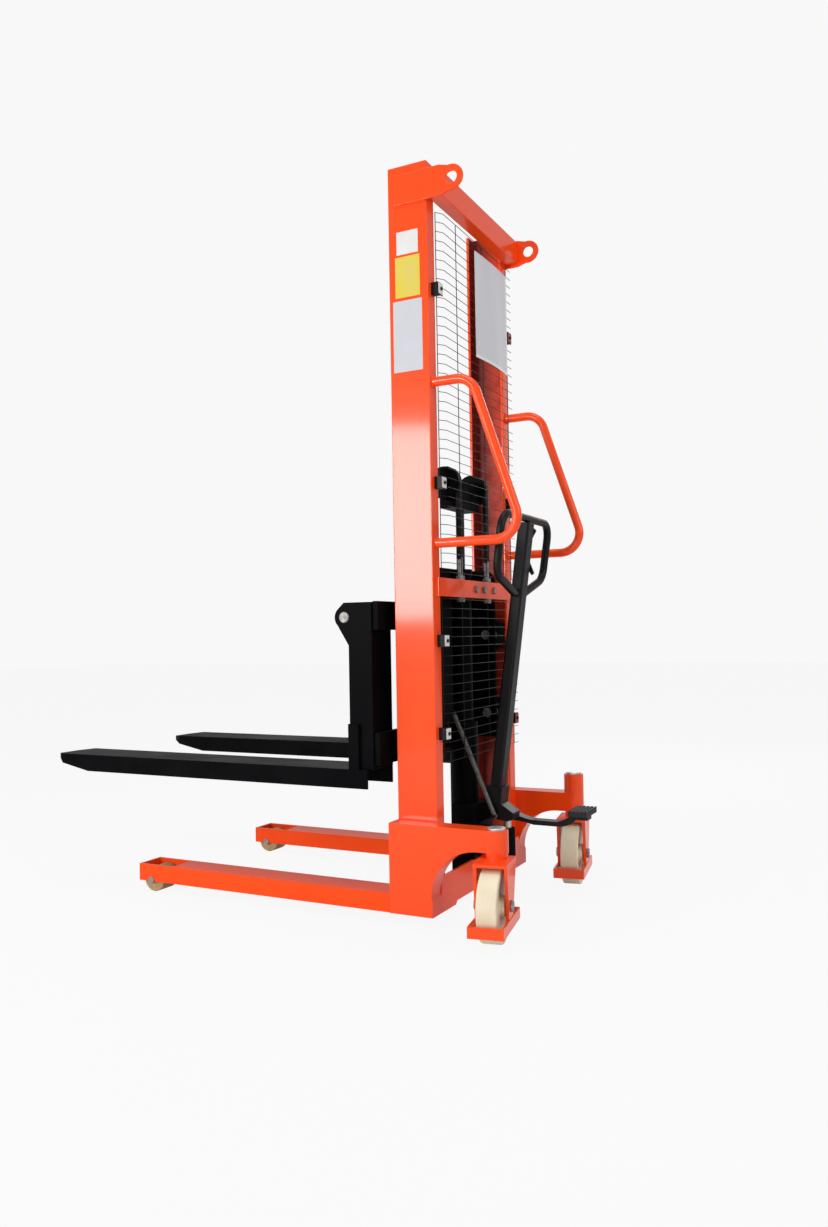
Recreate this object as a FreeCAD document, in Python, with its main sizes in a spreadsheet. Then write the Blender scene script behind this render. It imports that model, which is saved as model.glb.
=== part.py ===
import FreeCAD, Part
import math
import os

# Hand pallet stacker. Millimetres, +Z up, forks toward -Y, operator at +Y, left side at +X.

SIZES = [
    # Mast
    ("post_height", 1980),
    ("post_depth", 114),
    ("post_flange", 42),
    ("post_web", 8),
    ("post_lip", 9),
    ("mast_half", 276),
    # Base
    ("base_half", 330),
    ("base_top", 262),
    ("base_bottom", 31),
    ("foot_rear", 123),
    ("arch_y", 247),
    ("arch_z", 80),
    ("arch_radius", 127),
    ("arch_lip", 6),
    ("rear_plate", 8),
    ("rear_plate_top", 122),
    ("notch_half", 190),
    ("notch_rise", 9),
    ("notch_slope", 8),
    ("floor_plate", 12),
    # Caster sleeves
    ("sleeve_inset", 24),
    ("sleeve_y", 290),
    ("sleeve_radius", 29),
    ("sleeve_drop", 2),
    ("tall_sleeve", 54),
    ("cap_height", 6),
    ("cap_inset", 7),
    ("cap_chamfer", 2),
    ("stem_radius", 20),
    ("turn_play", 0.05),
    ("gap_play", 0.3),
    # Legs and load rollers
    ("leg_length", 845),
    ("leg_bottom", 32),
    ("leg_height", 49),
    ("leg_width", 89),
    ("leg_wall", 8),
    ("leg_top", 6),
    ("tip_wall", 6),
    ("well_length", 124),
    ("load_radius", 36),
    ("load_width", 66),
    ("load_setback", 46),
    ("load_axle", 8),
    ("axle_head", 3),
    ("axle_rim", 2),
    # Casters
    ("caster_angle", 10),
    ("trail", 45),
    ("wheel_radius", 90),
    ("wheel_width", 50),
    ("wheel_axle", 10),
    ("tread_thick", 16),
    ("hub_thick", 16),
    ("hub_width", 62),
    ("wheel_dish", 7),
    ("yoke_half", 42),
    ("yoke_plate", 8),
    ("yoke_top", 194),
    ("yoke_nose", 72),
    ("yoke_tail", 38),
    ("yoke_ankle", 24),
    ("yoke_sole", 20),
    ("guard_low", 35),
    ("guard_high", 62),
    ("guard_reach", 97),
    ("guard_bar", 6),
    ("guard_over", 2),
    ("collar_rim", 7),
    ("stem_length", 50),
    ("nut_height", 6),
    ("nut_rim", 4),
    # Forks
    ("fork_outer", 340),
    ("fork_width", 141),
    ("fork_wall", 6),
    ("fork_bottom", 345),
    ("fork_height", 50),
    ("fork_reach", 1190),
    ("fork_taper", 150),
    ("fork_nose", 55),
    ("tip_rise", 30),
    ("tip_drop", 4),
    ("tip_ramp", 40),
    ("tip_corner", 34),
    ("tip_slant", 46),
    ("heel_back", 55),
    ("heel_skin", 1),
    ("shank_inset", 12),
    ("shank_width", 106),
    ("shank_front", 112),
    ("shank_back", 42),
    ("shank_top", 832),
    ("shank_wall", 10),
    ("ear_plate", 16),
    ("ear_radius", 30),
    ("ear_tall", 78),
    ("ear_lap", 2),
    ("gusset_top", 513),
    ("gusset_back", 81),
    ("gusset_plate", 10),
    ("shaft_y", 124),
    ("shaft_drop", 39),
    ("shaft_radius", 15),
    ("shaft_over", 4),
    ("shaft_chamfer", 2),
    # Carriage
    ("bar_plate", 16),
    ("bar_half", 322),
    ("upper_bar_low", 758),
    ("upper_bar_high", 834),
    ("lower_bar_low", 406),
    ("lower_bar_high", 491),
    ("side_x", 207),
    ("side_plate", 12),
    ("side_rear", 86),
    ("side_low", 432),
    ("side_high", 935),
    ("side_chamfer", 20),
    ("side_crest", 10),
    ("tail_drop", 99),
    ("tail_width", 14),
    ("tail_root", 36),
    ("back_y", 6),
    ("back_plate", 10),
    ("bracket_inner", 16),
    ("bracket_plate", 18),
    ("bracket_foot", 40),
    ("upper_roller", 740),
    ("lower_roller", 505),
    ("roller_inset", 4),
    ("roller_width", 24),
    ("roller_pin", 14),
    ("roller_collar", 6),
    ("roller_gap", 1),
    ("block_side", 6),
    ("block_wall", 5),
    ("block_lip", 3),
    ("block_slope", 34),
    ("block_lift", 2),
    # Crosshead, chains and cylinder
    ("ram_y", 68),
    ("barrel_radius", 28),
    ("bore_radius", 22),
    ("barrel_top", 905),
    ("barrel_floor", 14),
    ("gland_height", 22),
    ("gland_rim", 4),
    ("rod_radius", 12),
    ("rod_low", 240),
    ("piston_height", 30),
    ("pulley_x", 93),
    ("pulley_z", 1163),
    ("pulley_flange", 45),
    ("pulley_width", 24),
    ("pulley_pin", 10),
    ("pulley_gap", 1),
    ("pin_head", 3),
    ("pin_rim", 5),
    ("chain_radius", 40),
    ("chain_width", 18),
    ("chain_thick", 12),
    ("chain_waist", 7),
    ("chain_pitch", 19),
    ("chain_low", 470),
    ("anchor_top", 955),
    ("anchor_radius", 7),
    ("anchor_nut", 12),
    ("anchor_nut_rim", 5),
    ("yoke_bar_drop", 67),
    ("bar_clear", 3),
    ("cheek_thick", 40),
    ("cheek_half", 25),
    # Beams, lugs and handles
    ("top_beam_drop", 30),
    ("top_beam_tall", 67),
    ("top_beam_rear", 153),
    ("mid_beam_low", 844),
    ("mid_beam_high", 892),
    ("mid_beam_front", 97),
    ("mid_beam_rear", 122),
    ("mid_flange", 26),
    ("beam_wall", 5),
    ("lug_plate", 7),
    ("lug_front", 22),
    ("lug_y", 188),
    ("lug_drop", 65),
    ("lug_radius", 33),
    ("lug_neck", 8),
    ("lug_hole", 16),
    ("lug_below", 9),
    ("lug_above", 5),
    ("handle_x", 255),
    ("handle_high", 1402),
    ("handle_low", 981),
    ("handle_knee", 222),
    ("handle_reach", 362),
    ("tube_radius", 12.5),
    ("handle_bend", 58),
    # Guard
    ("guard_y", 128),
    ("guard_wire", 4),
    ("guard_half", 238),
    ("guard_head", 8),
    ("mesh_pitch", 25),
    ("left_column", 150),
    ("right_column", 50),
    ("upper_guard_low", 905),
    ("lower_guard_low", 385),
    ("clip_width", 32),
    ("clip_gap", 1),
    ("clip_foot", 20),
    ("clip_thick", 3),
    ("clip_lap", 8),
    ("clip_drop", 349),
    ("clip_upper", 1123),
    ("clip_middle", 711),
    ("clip_lower", 470),
    ("sheet_wide", 236),
    ("sheet_tall", 302),
    ("sheet_drop", 55),
    ("sheet_left", 13),
    ("sheet_thick", 2),
    # Pump, tiller and pedal
    ("tank_radius", 40),
    ("tank_top", 496),
    ("block_half", 66),
    ("block_front", 56),
    ("block_rear", 124),
    ("block_top", 270),
    ("pivot_y", 162),
    ("pivot_z", 253),
    ("pivot_pin", 8),
    ("pivot_boss", 12),
    ("pivot_ear", 10),
    ("pivot_rim", 2),
    ("ear_gap", 3),
    ("ear_drop", 40),
    ("ear_slope", 20),
    ("ear_root", 4),
    ("plunger_y", 197),
    ("plunger_radius", 10),
    ("plunger_top", 224),
    ("plunger_low", 160),
    ("boss_wall", 10),
    ("boss_top", 204),
    ("tiller_lean", 7.67),
    ("tiller_clear", 1),
    ("tiller_wide", 46),
    ("tiller_deep", 33),
    ("tiller_round", 6),
    ("tiller_wall", 4),
    ("rocker_half", 26),
    ("rocker_front", 20),
    ("rocker_rear", 62),
    ("rocker_low", 22),
    ("rocker_bevel", 8),
    ("rocker_heel", 16),
    ("rocker_toe", 4),
    ("rocker_shoulder", 24),
    ("socket_foot", 22),
    ("socket_height", 46),
    ("socket_wall", 6),
    ("peg_y", 18),
    ("peg_z", 8),
    ("peg_radius", 4),
    ("peg_over", 10),
    ("lever_peg", 4),
    ("lever_hub", 12),
    ("lever_blade", 8),
    ("lever_drop", 110),
    ("lever_boss", 9),
    ("lever_half", 6),
    ("lever_thumb_y", 20),
    ("lever_thumb_z", 24),
    ("lever_neck_z", 56),
    ("lever_tip_y", 27),
    ("lever_tip_z", 154),
    ("loop_half", 182),
    ("loop_radius", 11),
    ("loop_bend", 45),
    ("loop_grip", 814),
    ("loop_tall", 207),
    ("loop_tilt", 46),
    ("loop_splay", 6),
    ("loop_stub", 14),
    ("pedal_wide", 36),
    ("pedal_bar", 13),
    ("pedal_root", 30),
    ("pedal_low", 224),
    ("pedal_sag", 4),
    ("pedal_knee", 262),
    ("pedal_heel", 330),
    ("pedal_end", 6),
    ("pad_wide", 96),
    ("pad_long", 52),
    ("pad_thick", 16),
    ("pad_groove", 3),
    ("pad_rear", 424),
    ("pad_z", 246),
    # Return spring
    ("spring_x", 50),
    ("spring_top_y", 60),
    ("spring_top_z", 524),
    ("spring_radius", 5.2),
    ("spring_wire", 2.4),
    ("spring_turns", 24),
    ("spring_foot", 5.6),
    ("spring_head", 3.8),
    ("spring_ear", 5),
    ("spring_ear_half", 6),
]

doc = FreeCAD.newDocument("HandPalletStacker")
sheet = doc.addObject("Spreadsheet::Sheet", "Sizes")
for row, (name, value) in enumerate(SIZES, start=1):
    sheet.set("A%d" % row, name)
    sheet.set("B%d" % row, str(value))
    sheet.setAlias("B%d" % row, name)
doc.recompute()

nodes = []


def size(name):
    return float(sheet.get(name))


def cell(text):
    words = []
    for word in text.split():
        words.append("Sizes." + word if word[0].isalpha() else word)
    return " ".join(words)


# The frame stands under the middle of the whole machine. The front face of the posts lies behind it,
# and the mast lies beside it because both casters trail toward the left.
mast_y = (size("fork_reach") - size("pad_rear")) / 2
mast_x = -size("trail") * math.cos(math.radians(size("caster_angle")))


def place(thing, x, y, z, rotation=FreeCAD.Rotation()):
    thing.Placement = FreeCAD.Placement(FreeCAD.Vector(mast_x + x, mast_y + y, z), rotation)


def new_body(label):
    body = doc.addObject("PartDesign::Body", label)
    body.Label = label
    return body


def keep(thing):
    nodes.append(thing)
    return thing


def group(label, members):
    compound = doc.addObject("Part::Compound", label)
    compound.Label = label
    compound.Links = members
    return keep(compound)


# A loop is a run of corners; a corner written as a pair (via, end) is reached by an arc.
def draw(sketch, loop):
    if loop[0] == "circle":
        centre = FreeCAD.Vector(loop[1], loop[2], 0)
        sketch.addGeometry(Part.Circle(centre, FreeCAD.Vector(0, 0, 1), loop[3]))
        return
    here = FreeCAD.Vector(loop[0][0], loop[0][1], 0)
    first = here
    for step in loop[1:]:
        if isinstance(step[0], tuple):
            via = FreeCAD.Vector(step[0][0], step[0][1], 0)
            end = FreeCAD.Vector(step[1][0], step[1][1], 0)
            sketch.addGeometry(Part.Arc(here, via, end))
        else:
            end = FreeCAD.Vector(step[0], step[1], 0)
            sketch.addGeometry(Part.LineSegment(here, end))
        here = end
    if here.distanceToPoint(first) > 1e-6:
        sketch.addGeometry(Part.LineSegment(here, first))


def new_sketch(body, plane, offset, loops):
    sketch = body.newObject("Sketcher::SketchObject", body.Name + "_sketch")
    for datum in body.Origin.OriginFeatures:
        if datum.Role == plane:
            sketch.AttachmentSupport = [(datum, "")]
    sketch.MapMode = "FlatFace"
    sketch.AttachmentOffset = FreeCAD.Placement(FreeCAD.Vector(0, 0, offset), FreeCAD.Rotation())
    for loop in loops:
        draw(sketch, loop)
    return sketch


def pad(body, plane, offset, loops, length):
    feature = body.newObject("PartDesign::Pad", body.Name + "_pad")
    feature.Profile = new_sketch(body, plane, offset, loops)
    feature.setExpression("Length", cell(length))
    return feature


def pocket(body, plane, offset, loops, length):
    feature = body.newObject("PartDesign::Pocket", body.Name + "_pocket")
    feature.Profile = new_sketch(body, plane, offset, loops)
    feature.setExpression("Length", cell(length))
    feature.Reversed = True
    return feature


# The profile of a turned piece is drawn as (radius, height) and spun about the Z axis.
def spin(body, profile):
    sketch = new_sketch(body, "XZ_Plane", 0, [profile])
    feature = body.newObject("PartDesign::Revolution", body.Name + "_spin")
    feature.Profile = sketch
    feature.ReferenceAxis = (sketch, ["V_Axis"])
    feature.Angle = 360


def turned(label, profile):
    body = new_body(label)
    spin(body, profile)
    return body


def rectangle(a0, b0, a1, b1):
    return [(a0, b0), (a1, b0), (a1, b1), (a0, b1)]


along_x = FreeCAD.Rotation(FreeCAD.Vector(0, 1, 0), 90)
against_x = FreeCAD.Rotation(FreeCAD.Vector(0, 1, 0), -90)
play = size("gap_play")
fit = size("turn_play")
sleeve_x = size("base_half") - size("sleeve_inset")
shaft_z = size("shank_top") - size("shaft_drop")
yoke_bar_low = size("pulley_z") - size("yoke_bar_drop")


# Mast posts: each is a channel welded from a web and two flanges, open toward the other post.
# The carriage rollers run between the flanges.
def make_post(label, side):
    outer = size("mast_half")
    inner = outer - size("post_flange")
    web = outer - size("post_web")
    depth = size("post_depth")
    lip = size("post_lip")
    plates = [("web", rectangle(web, 0, outer, depth)), ("front", rectangle(inner, 0, web, lip))]
    plates.append(("rear", rectangle(inner, depth - lip, web, depth)))
    members = []
    for word, corners in plates:
        plate = new_body(label + "_" + word)
        pad(plate, "XY_Plane", 0, [[(side * x, y) for x, y in corners]], "post_height - base_bottom")
        place(plate, 0, 0, size("base_bottom"))
        members.append(plate)
    group(label, members)


make_post("post_left", 1)
make_post("post_right", -1)


# Base cheeks: wheel arch behind the foot, and the arm that ends in the caster sleeve.
def make_cheek(label, side, sleeve_rise):
    low = size("base_bottom")
    top = size("base_top")
    rear = size("foot_rear")
    arm = size("sleeve_y")
    arch_y = size("arch_y")
    arch_z = size("arch_z")
    radius = size("arch_radius")
    slant = radius * math.sqrt(0.5)
    roof = arch_z + radius
    outline = [(0, low), (rear, low), (rear, arch_z - size("arch_lip")), (arch_y - radius, arch_z)]
    outline += [((arch_y - slant, arch_z + slant), (arch_y, roof)), (arm, roof), (arm, top), (0, top)]
    body = new_body(label)
    inner = size("mast_half") if side > 0 else -size("base_half")
    pad(body, "YZ_Plane", inner, [outline], "base_half - mast_half")
    foot = roof - size("sleeve_drop")
    sleeve_tall = "base_top - arch_z - arch_radius + sleeve_drop + " + sleeve_rise
    sleeve = ("circle", side * sleeve_x, arm, size("sleeve_radius"))
    pad(body, "XY_Plane", foot, [sleeve], sleeve_tall)
    bore = ("circle", side * sleeve_x, arm, size("stem_radius") + fit)
    pocket(body, "XY_Plane", foot, [bore], sleeve_tall)
    place(body, 0, 0, 0)
    keep(body)


make_cheek("cheek_left", 1, "0")
make_cheek("cheek_right", -1, "tall_sleeve")


def make_cap(name, side, rise):
    radius = size("sleeve_radius") - size("cap_inset")
    high = size("cap_height")
    chamfer = size("cap_chamfer")
    cap = turned(name, [(0, 0), (radius, 0), (radius, high - chamfer), (radius - chamfer, high), (0, high)])
    place(cap, side * sleeve_x, size("sleeve_y"), size("base_top") + rise)
    return cap


group("sleeve_caps", [make_cap("cap_left", 1, 0), make_cap("cap_right", -1, size("tall_sleeve"))])


# Rear cross plate between the cheeks, raised along its middle, and the floor that carries the cylinder.
def make_rear_plate():
    half = size("mast_half")
    low = size("base_bottom")
    high = size("rear_plate_top")
    mid = size("notch_half")
    step = mid - size("notch_slope")
    rise = low + size("notch_rise")
    corners = [(-half, low), (-mid, low), (-step, rise), (step, rise), (mid, low), (half, low)]
    corners += [(half, high), (-half, high)]
    body = new_body("base_rear_plate")
    pad(body, "XZ_Plane", -size("foot_rear"), [corners], "rear_plate")
    place(body, 0, 0, 0)
    keep(body)


make_rear_plate()
plate_front = size("foot_rear") - size("rear_plate")


def make_floor():
    half = size("mast_half") - size("post_flange")
    body = new_body("base_floor")
    pad(body, "XY_Plane", 0, [rectangle(-half, 0, half, plate_front)], "floor_plate")
    place(body, 0, 0, size("base_bottom") + size("notch_rise"))
    keep(body)


make_floor()
floor_top = size("base_bottom") + size("notch_rise") + size("floor_plate")
load_reach = size("leg_length") - size("load_setback")


# Support legs: channels open below, closed at the tip, with an open well over the load roller.
def make_leg(label, side):
    outer = size("base_half")
    inner = outer - size("leg_width")
    low = size("leg_bottom")
    top = low + size("leg_height")
    wall = size("leg_wall")
    roof = top - size("leg_top")
    tip = -size("leg_length")
    corners = [(inner, low), (inner, top), (outer, top), (outer, low), (outer - wall, low)]
    corners += [(outer - wall, roof), (inner + wall, roof), (inner + wall, low)]
    body = new_body(label)
    pad(body, "XZ_Plane", 0, [[(side * x, z) for x, z in corners]], "leg_length")
    start = inner if side > 0 else -outer
    end = start + size("leg_width")
    well = rectangle(start + wall, tip, end - wall, tip + size("well_length"))
    pocket(body, "XY_Plane", roof, [well], "leg_top")
    pad(body, "XZ_Plane", size("leg_length") - size("tip_wall"), [rectangle(start, low, end, top)], "tip_wall")
    hole = ("circle", -load_reach, size("load_radius"), size("load_axle") + fit)
    pocket(body, "YZ_Plane", start, [hole], "leg_width")
    place(body, 0, 0, 0)
    keep(body)


make_leg("leg_left", 1)
make_leg("leg_right", -1)


def make_load_axle(name, side):
    radius = size("load_axle")
    wide = size("leg_width")
    head = size("axle_head")
    rim = radius + size("axle_rim")
    profile = [(0, -head), (rim, -head), (rim, 0), (radius, 0), (radius, wide), (rim, wide), (rim, wide + head)]
    axle = turned(name, profile + [(0, wide + head)])
    inner = size("base_half") - wide
    place(axle, inner if side > 0 else -size("base_half"), -load_reach, size("load_radius"), along_x)
    return axle


group("leg_axles", [make_load_axle("axle_left", 1), make_load_axle("axle_right", -1)])


def make_load_roller(label, side):
    radius = size("load_radius")
    half = size("load_width") / 2
    roller = turned(label, rectangle(size("load_axle") + fit, -half, radius, half))
    middle = size("base_half") - size("leg_width") / 2
    place(roller, side * middle, -load_reach, radius, along_x)
    keep(roller)


make_load_roller("load_roller_left", 1)
make_load_roller("load_roller_right", -1)


# Casters: the yoke stands on the stem axis and trails along its own X axis.
caster_turn = FreeCAD.Rotation(FreeCAD.Vector(0, 0, 1), size("caster_angle"))


def make_yoke(label, side):
    half = size("yoke_half")
    plate = size("yoke_plate")
    top = size("yoke_top")
    trail = size("trail")
    reach = size("guard_reach")
    bar = size("guard_bar")
    bottom = size("guard_low")
    ledge = size("guard_high")
    nose = trail - size("yoke_nose")
    tail = trail + size("yoke_tail")
    ankle = size("yoke_ankle")
    foot = size("yoke_sole")
    sole = (bottom + ledge) / 2
    side_outline = [(nose, top), (tail, top), (trail + ankle, ledge), (trail + foot, sole)]
    side_outline += [(trail - foot, sole), (trail - ankle, ledge)]
    body = new_body(label)
    pad(body, "XY_Plane", top - plate, [rectangle(nose, -half, tail, half)], "yoke_plate")
    for edge in (half, plate - half):
        pad(body, "XZ_Plane", -edge, [side_outline], "yoke_plate")
    flank = half + size("guard_over")
    outer = rectangle(trail - reach, -flank, trail + reach, flank)
    inner = rectangle(trail - reach + bar, bar - flank, trail + reach - bar, flank - bar)
    pad(body, "XY_Plane", bottom, [outer, inner], "guard_high - guard_low")
    radius = size("stem_radius")
    rim = radius + size("collar_rim")
    collar = size("arch_z") + size("arch_radius") - size("sleeve_drop") - play
    stem_top = collar + size("stem_length")
    spin(body, [(0, top), (rim, top), (rim, collar), (radius, collar), (radius, stem_top), (0, stem_top)])
    hole = ("circle", trail, size("wheel_radius"), size("wheel_axle") + fit)
    pocket(body, "XZ_Plane", -half, [hole], "2 * yoke_half")
    place(body, side * sleeve_x, size("sleeve_y"), 0, caster_turn)
    keep(body)


make_yoke("caster_yoke_left", 1)
make_yoke("caster_yoke_right", -1)


# A turned piece of the caster, set on the wheel's own axis.
def place_on_caster(thing, side):
    along_axle = FreeCAD.Rotation(FreeCAD.Vector(1, 0, 0), 90)
    offset = caster_turn.multVec(FreeCAD.Vector(size("trail"), 0, 0))
    x = side * sleeve_x + offset.x
    place(thing, x, size("sleeve_y") + offset.y, size("wheel_radius"), caster_turn.multiply(along_axle))


def make_caster_axle(label, side):
    radius = size("wheel_axle")
    half = size("yoke_half")
    end = half + size("nut_height")
    rim = radius + size("nut_rim")
    profile = [(0, -end), (rim, -end), (rim, -half), (radius, -half), (radius, half), (rim, half)]
    axle = turned(label, profile + [(rim, end), (0, end)])
    place_on_caster(axle, side)
    keep(axle)


make_caster_axle("caster_axle_left", 1)
make_caster_axle("caster_axle_right", -1)


def make_caster_wheel(label, side):
    radius = size("wheel_radius")
    half = size("wheel_width") / 2
    bore = size("wheel_axle") + fit
    rim = radius - size("tread_thick")
    hub = bore + size("hub_thick")
    boss = size("hub_width") / 2
    dish = half - size("wheel_dish")
    near = [(bore, -boss), (hub, -boss), (hub, -dish), (rim, -dish), (rim, -half), (radius, -half)]
    far = [(r, -z) for r, z in reversed(near)]
    wheel = turned(label, near + far)
    place_on_caster(wheel, side)
    keep(wheel)


make_caster_wheel("caster_wheel_left", 1)
make_caster_wheel("caster_wheel_right", -1)


# Beams between the posts.
top_beam_high = size("post_height") - size("top_beam_drop")
top_beam_low = top_beam_high - size("top_beam_tall")


def make_top_beam():
    wall = size("beam_wall")
    front = size("post_depth")
    rear = size("top_beam_rear")
    outer = rectangle(front, top_beam_low, rear, top_beam_high)
    inner = rectangle(front + wall, top_beam_low + wall, rear - wall, top_beam_high - wall)
    body = new_body("top_beam")
    pad(body, "YZ_Plane", -size("mast_half"), [outer, inner], "2 * mast_half")
    place(body, 0, 0, 0)
    keep(body)


make_top_beam()
rear_run = size("ram_y") + size("chain_radius")
front_run = size("ram_y") - size("chain_radius")


def make_mid_beam():
    half = size("mast_half") - size("post_flange")
    rear = size("mid_beam_rear")
    low = size("mid_beam_low")
    tall = "mid_beam_high - mid_beam_low"
    body = new_body("mid_beam")
    pad(body, "XY_Plane", low, [rectangle(-half, size("mid_beam_front"), half, rear)], tall)
    reach = half + size("mid_flange")
    pad(body, "XY_Plane", low, [rectangle(-reach, size("post_depth"), reach, rear)], tall)
    holes = []
    for side in (1, -1):
        holes.append(("circle", side * size("pulley_x"), rear_run, size("anchor_radius") + fit))
    pocket(body, "XY_Plane", low, holes, tall)
    place(body, 0, 0, 0)
    keep(body)


make_mid_beam()


# Lifting lugs: plates on the outer faces of the posts with an eye behind them.
def make_lug(name, side):
    y = size("lug_y")
    z = size("post_height") - size("lug_drop")
    radius = size("lug_radius")
    low = top_beam_low - size("lug_below")
    high = top_beam_high + size("lug_above")
    front = size("lug_front")
    rear = size("top_beam_rear")
    neck = y - size("lug_neck")
    tilt = radius * math.sqrt(0.5)
    outline = [(front, low), (rear, low), (neck, z - radius), ((y + tilt, z - tilt), (y + radius, z))]
    outline += [((y + tilt, z + tilt), (neck, z + radius)), (rear, high), (front, high)]
    body = new_body(name)
    inner = size("mast_half") if side > 0 else -size("mast_half") - size("lug_plate")
    pad(body, "YZ_Plane", inner, [outline, ("circle", y, z, size("lug_hole"))], "lug_plate")
    place(body, 0, 0, 0)
    return body


group("lifting_lugs", [make_lug("lug_left", 1), make_lug("lug_right", -1)])


# A round bar along corners, each corner rounded with the same bend.
def bent_bar(label, corners, bend, radius):
    points = [FreeCAD.Vector(*corner) for corner in corners]
    edges = []
    here = points[0]
    for before, corner, after in zip(points, points[1:], points[2:]):
        into = (corner - before).normalize()
        out = (after - corner).normalize()
        turn = into.getAngle(out)
        cut = bend * math.tan(turn / 2)
        start = corner - into * cut
        end = corner + out * cut
        inward = (out - into).normalize()
        middle = corner + inward * (bend / math.cos(turn / 2) - bend)
        edges.append(Part.makeLine(here, start))
        edges.append(Part.Arc(start, middle, end).toShape())
        here = end
    edges.append(Part.makeLine(here, points[-1]))
    section = Part.Wire(Part.makeCircle(radius, points[0], points[1] - points[0]))
    bar = doc.addObject("Part::Feature", label)
    bar.Label = label
    bar.Shape = Part.Wire(edges).makePipeShell([section], True, False)
    return keep(bar)


def make_handle(label, side):
    x = side * size("handle_x")
    rear = size("post_depth")
    high = size("handle_high")
    low = size("handle_low")
    corners = [(x, rear, high), (x, size("handle_knee"), high), (x, size("handle_reach"), low), (x, rear, low)]
    handle = bent_bar(label, corners, size("handle_bend"), size("tube_radius"))
    place(handle, 0, 0, 0)


make_handle("handle_left", 1)
make_handle("handle_right", -1)


# Wire guard: each panel is one sheet with the gaps between its wires cut out, in rows of one pitch.
guard_face = size("guard_y") + size("guard_wire")


def make_guard(name, low, ceiling):
    half = size("guard_half")
    wire = size("guard_wire")
    pitch = size("mesh_pitch")
    rows = int((ceiling - low - wire) / pitch)
    columns = [-half, -size("right_column"), size("left_column"), half - wire]
    loops = [rectangle(-half, low, half, low + rows * pitch + wire)]
    for row in range(rows):
        bottom = low + row * pitch + wire
        for left, right in zip(columns, columns[1:]):
            loops.append(rectangle(left + wire, bottom, right, bottom + pitch - wire))
    body = new_body(name)
    pad(body, "XZ_Plane", -guard_face, loops, "guard_wire")
    place(body, 0, 0, 0)
    return body


upper_guard = make_guard("guard_upper", size("upper_guard_low"), top_beam_low - size("guard_head"))
lower_guard = make_guard("guard_lower", size("lower_guard_low"), size("mid_beam_low"))
group("guard_panels", [upper_guard, lower_guard])


def make_clip(name, side, z):
    edge = size("guard_half") + size("clip_gap")
    outer = size("guard_half") + size("clip_foot")
    lap = size("guard_half") - size("clip_lap")
    front = size("post_depth")
    rear = guard_face + size("clip_thick")
    corners = [(edge, front), (outer, front), (outer, rear), (lap, rear), (lap, guard_face), (edge, guard_face)]
    body = new_body(name)
    pad(body, "XY_Plane", z, [[(side * x, y) for x, y in corners]], "clip_width")
    place(body, 0, 0, 0)
    return body


clips = []
clip_top = size("post_height") - size("clip_drop")
clip_heights = [clip_top, size("clip_upper"), size("clip_middle"), size("clip_lower")]
for number, height in enumerate(clip_heights):
    clips.append(make_clip("clip_left_%d" % number, 1, height))
    clips.append(make_clip("clip_right_%d" % number, -1, height))
group("guard_clips", clips)


def make_sheet():
    left = size("sheet_left")
    high = top_beam_low - size("sheet_drop")
    panel = rectangle(left - size("sheet_wide"), high - size("sheet_tall"), left, high)
    body = new_body("document_sleeve")
    pad(body, "XZ_Plane", -guard_face - size("sheet_thick"), [panel], "sheet_thick")
    place(body, 0, 0, 0)
    keep(body)


make_sheet()


# Lift cylinder with its gland and rod. The barrel carries a welded ear for the return spring.
def make_cylinder():
    outer = size("barrel_radius")
    bore = size("bore_radius")
    top = size("barrel_top")
    sill = floor_top + size("barrel_floor")
    profile = [(0, floor_top), (outer, floor_top), (outer, top), (bore, top), (bore, sill), (0, sill)]
    body = turned("lift_cylinder", profile)
    reach = size("spring_x") + size("spring_ear")
    y = size("spring_top_y") - size("ram_y")
    half = size("spring_ear_half")
    root = (bore + outer) / 2
    pad(body, "XY_Plane", size("spring_top_z"), [rectangle(root, y - half, reach, y + half)], "spring_wire * 2")
    place(body, 0, size("ram_y"), 0)
    keep(body)
    rod_hole = size("rod_radius") + fit
    collar = rectangle(rod_hole, top, outer + size("gland_rim"), top + size("gland_height"))
    gland = turned("cylinder_gland", collar)
    place(gland, 0, size("ram_y"), 0)
    keep(gland)


make_cylinder()


def make_rod():
    rod = size("rod_radius")
    low = size("rod_low")
    crown = low + size("piston_height")
    head = size("bore_radius") - fit
    top = yoke_bar_low
    body = turned("piston_rod", [(0, low), (head, low), (head, crown), (rod, crown), (rod, top), (0, top)])
    place(body, 0, size("ram_y"), 0)
    keep(body)


make_rod()


# Crosshead: a bar on the rod with a thick cheek at each end; a pulley hangs outside each cheek.
cheek_face = size("pulley_x") - size("pulley_width") / 2 - size("pulley_gap")
cheek_root = cheek_face - size("cheek_thick")


def make_crosshead():
    low = yoke_bar_low
    y = size("ram_y")
    z = size("pulley_z")
    half = size("cheek_half")
    bar_top = z - size("pulley_flange") - size("bar_clear")
    wide = "2 * pulley_x - pulley_width - 2 * pulley_gap"
    body = new_body("crosshead_yoke")
    pad(body, "YZ_Plane", -cheek_face, [rectangle(y - half, low, y + half, bar_top)], wide)
    outline = [(y - half, low), (y + half, low), (y + half, z), ((y, z + half), (y - half, z))]
    for start in (cheek_root, -cheek_face):
        pad(body, "YZ_Plane", start, [outline], "cheek_thick")
    pocket(body, "YZ_Plane", -cheek_face, [("circle", y, z, size("pulley_pin") + fit)], wide)
    place(body, 0, 0, 0)
    keep(body)


make_crosshead()


def make_pulley_pin(name, side):
    radius = size("pulley_pin")
    rim = radius + size("pin_rim")
    seat = size("cheek_thick") + size("pulley_width") + 2 * size("pulley_gap")
    end = seat + size("pin_head")
    pin = turned(name, [(0, 0), (radius, 0), (radius, seat), (rim, seat), (rim, end), (0, end)])
    place(pin, side * cheek_root, size("ram_y"), size("pulley_z"), along_x if side > 0 else against_x)
    return pin


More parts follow.
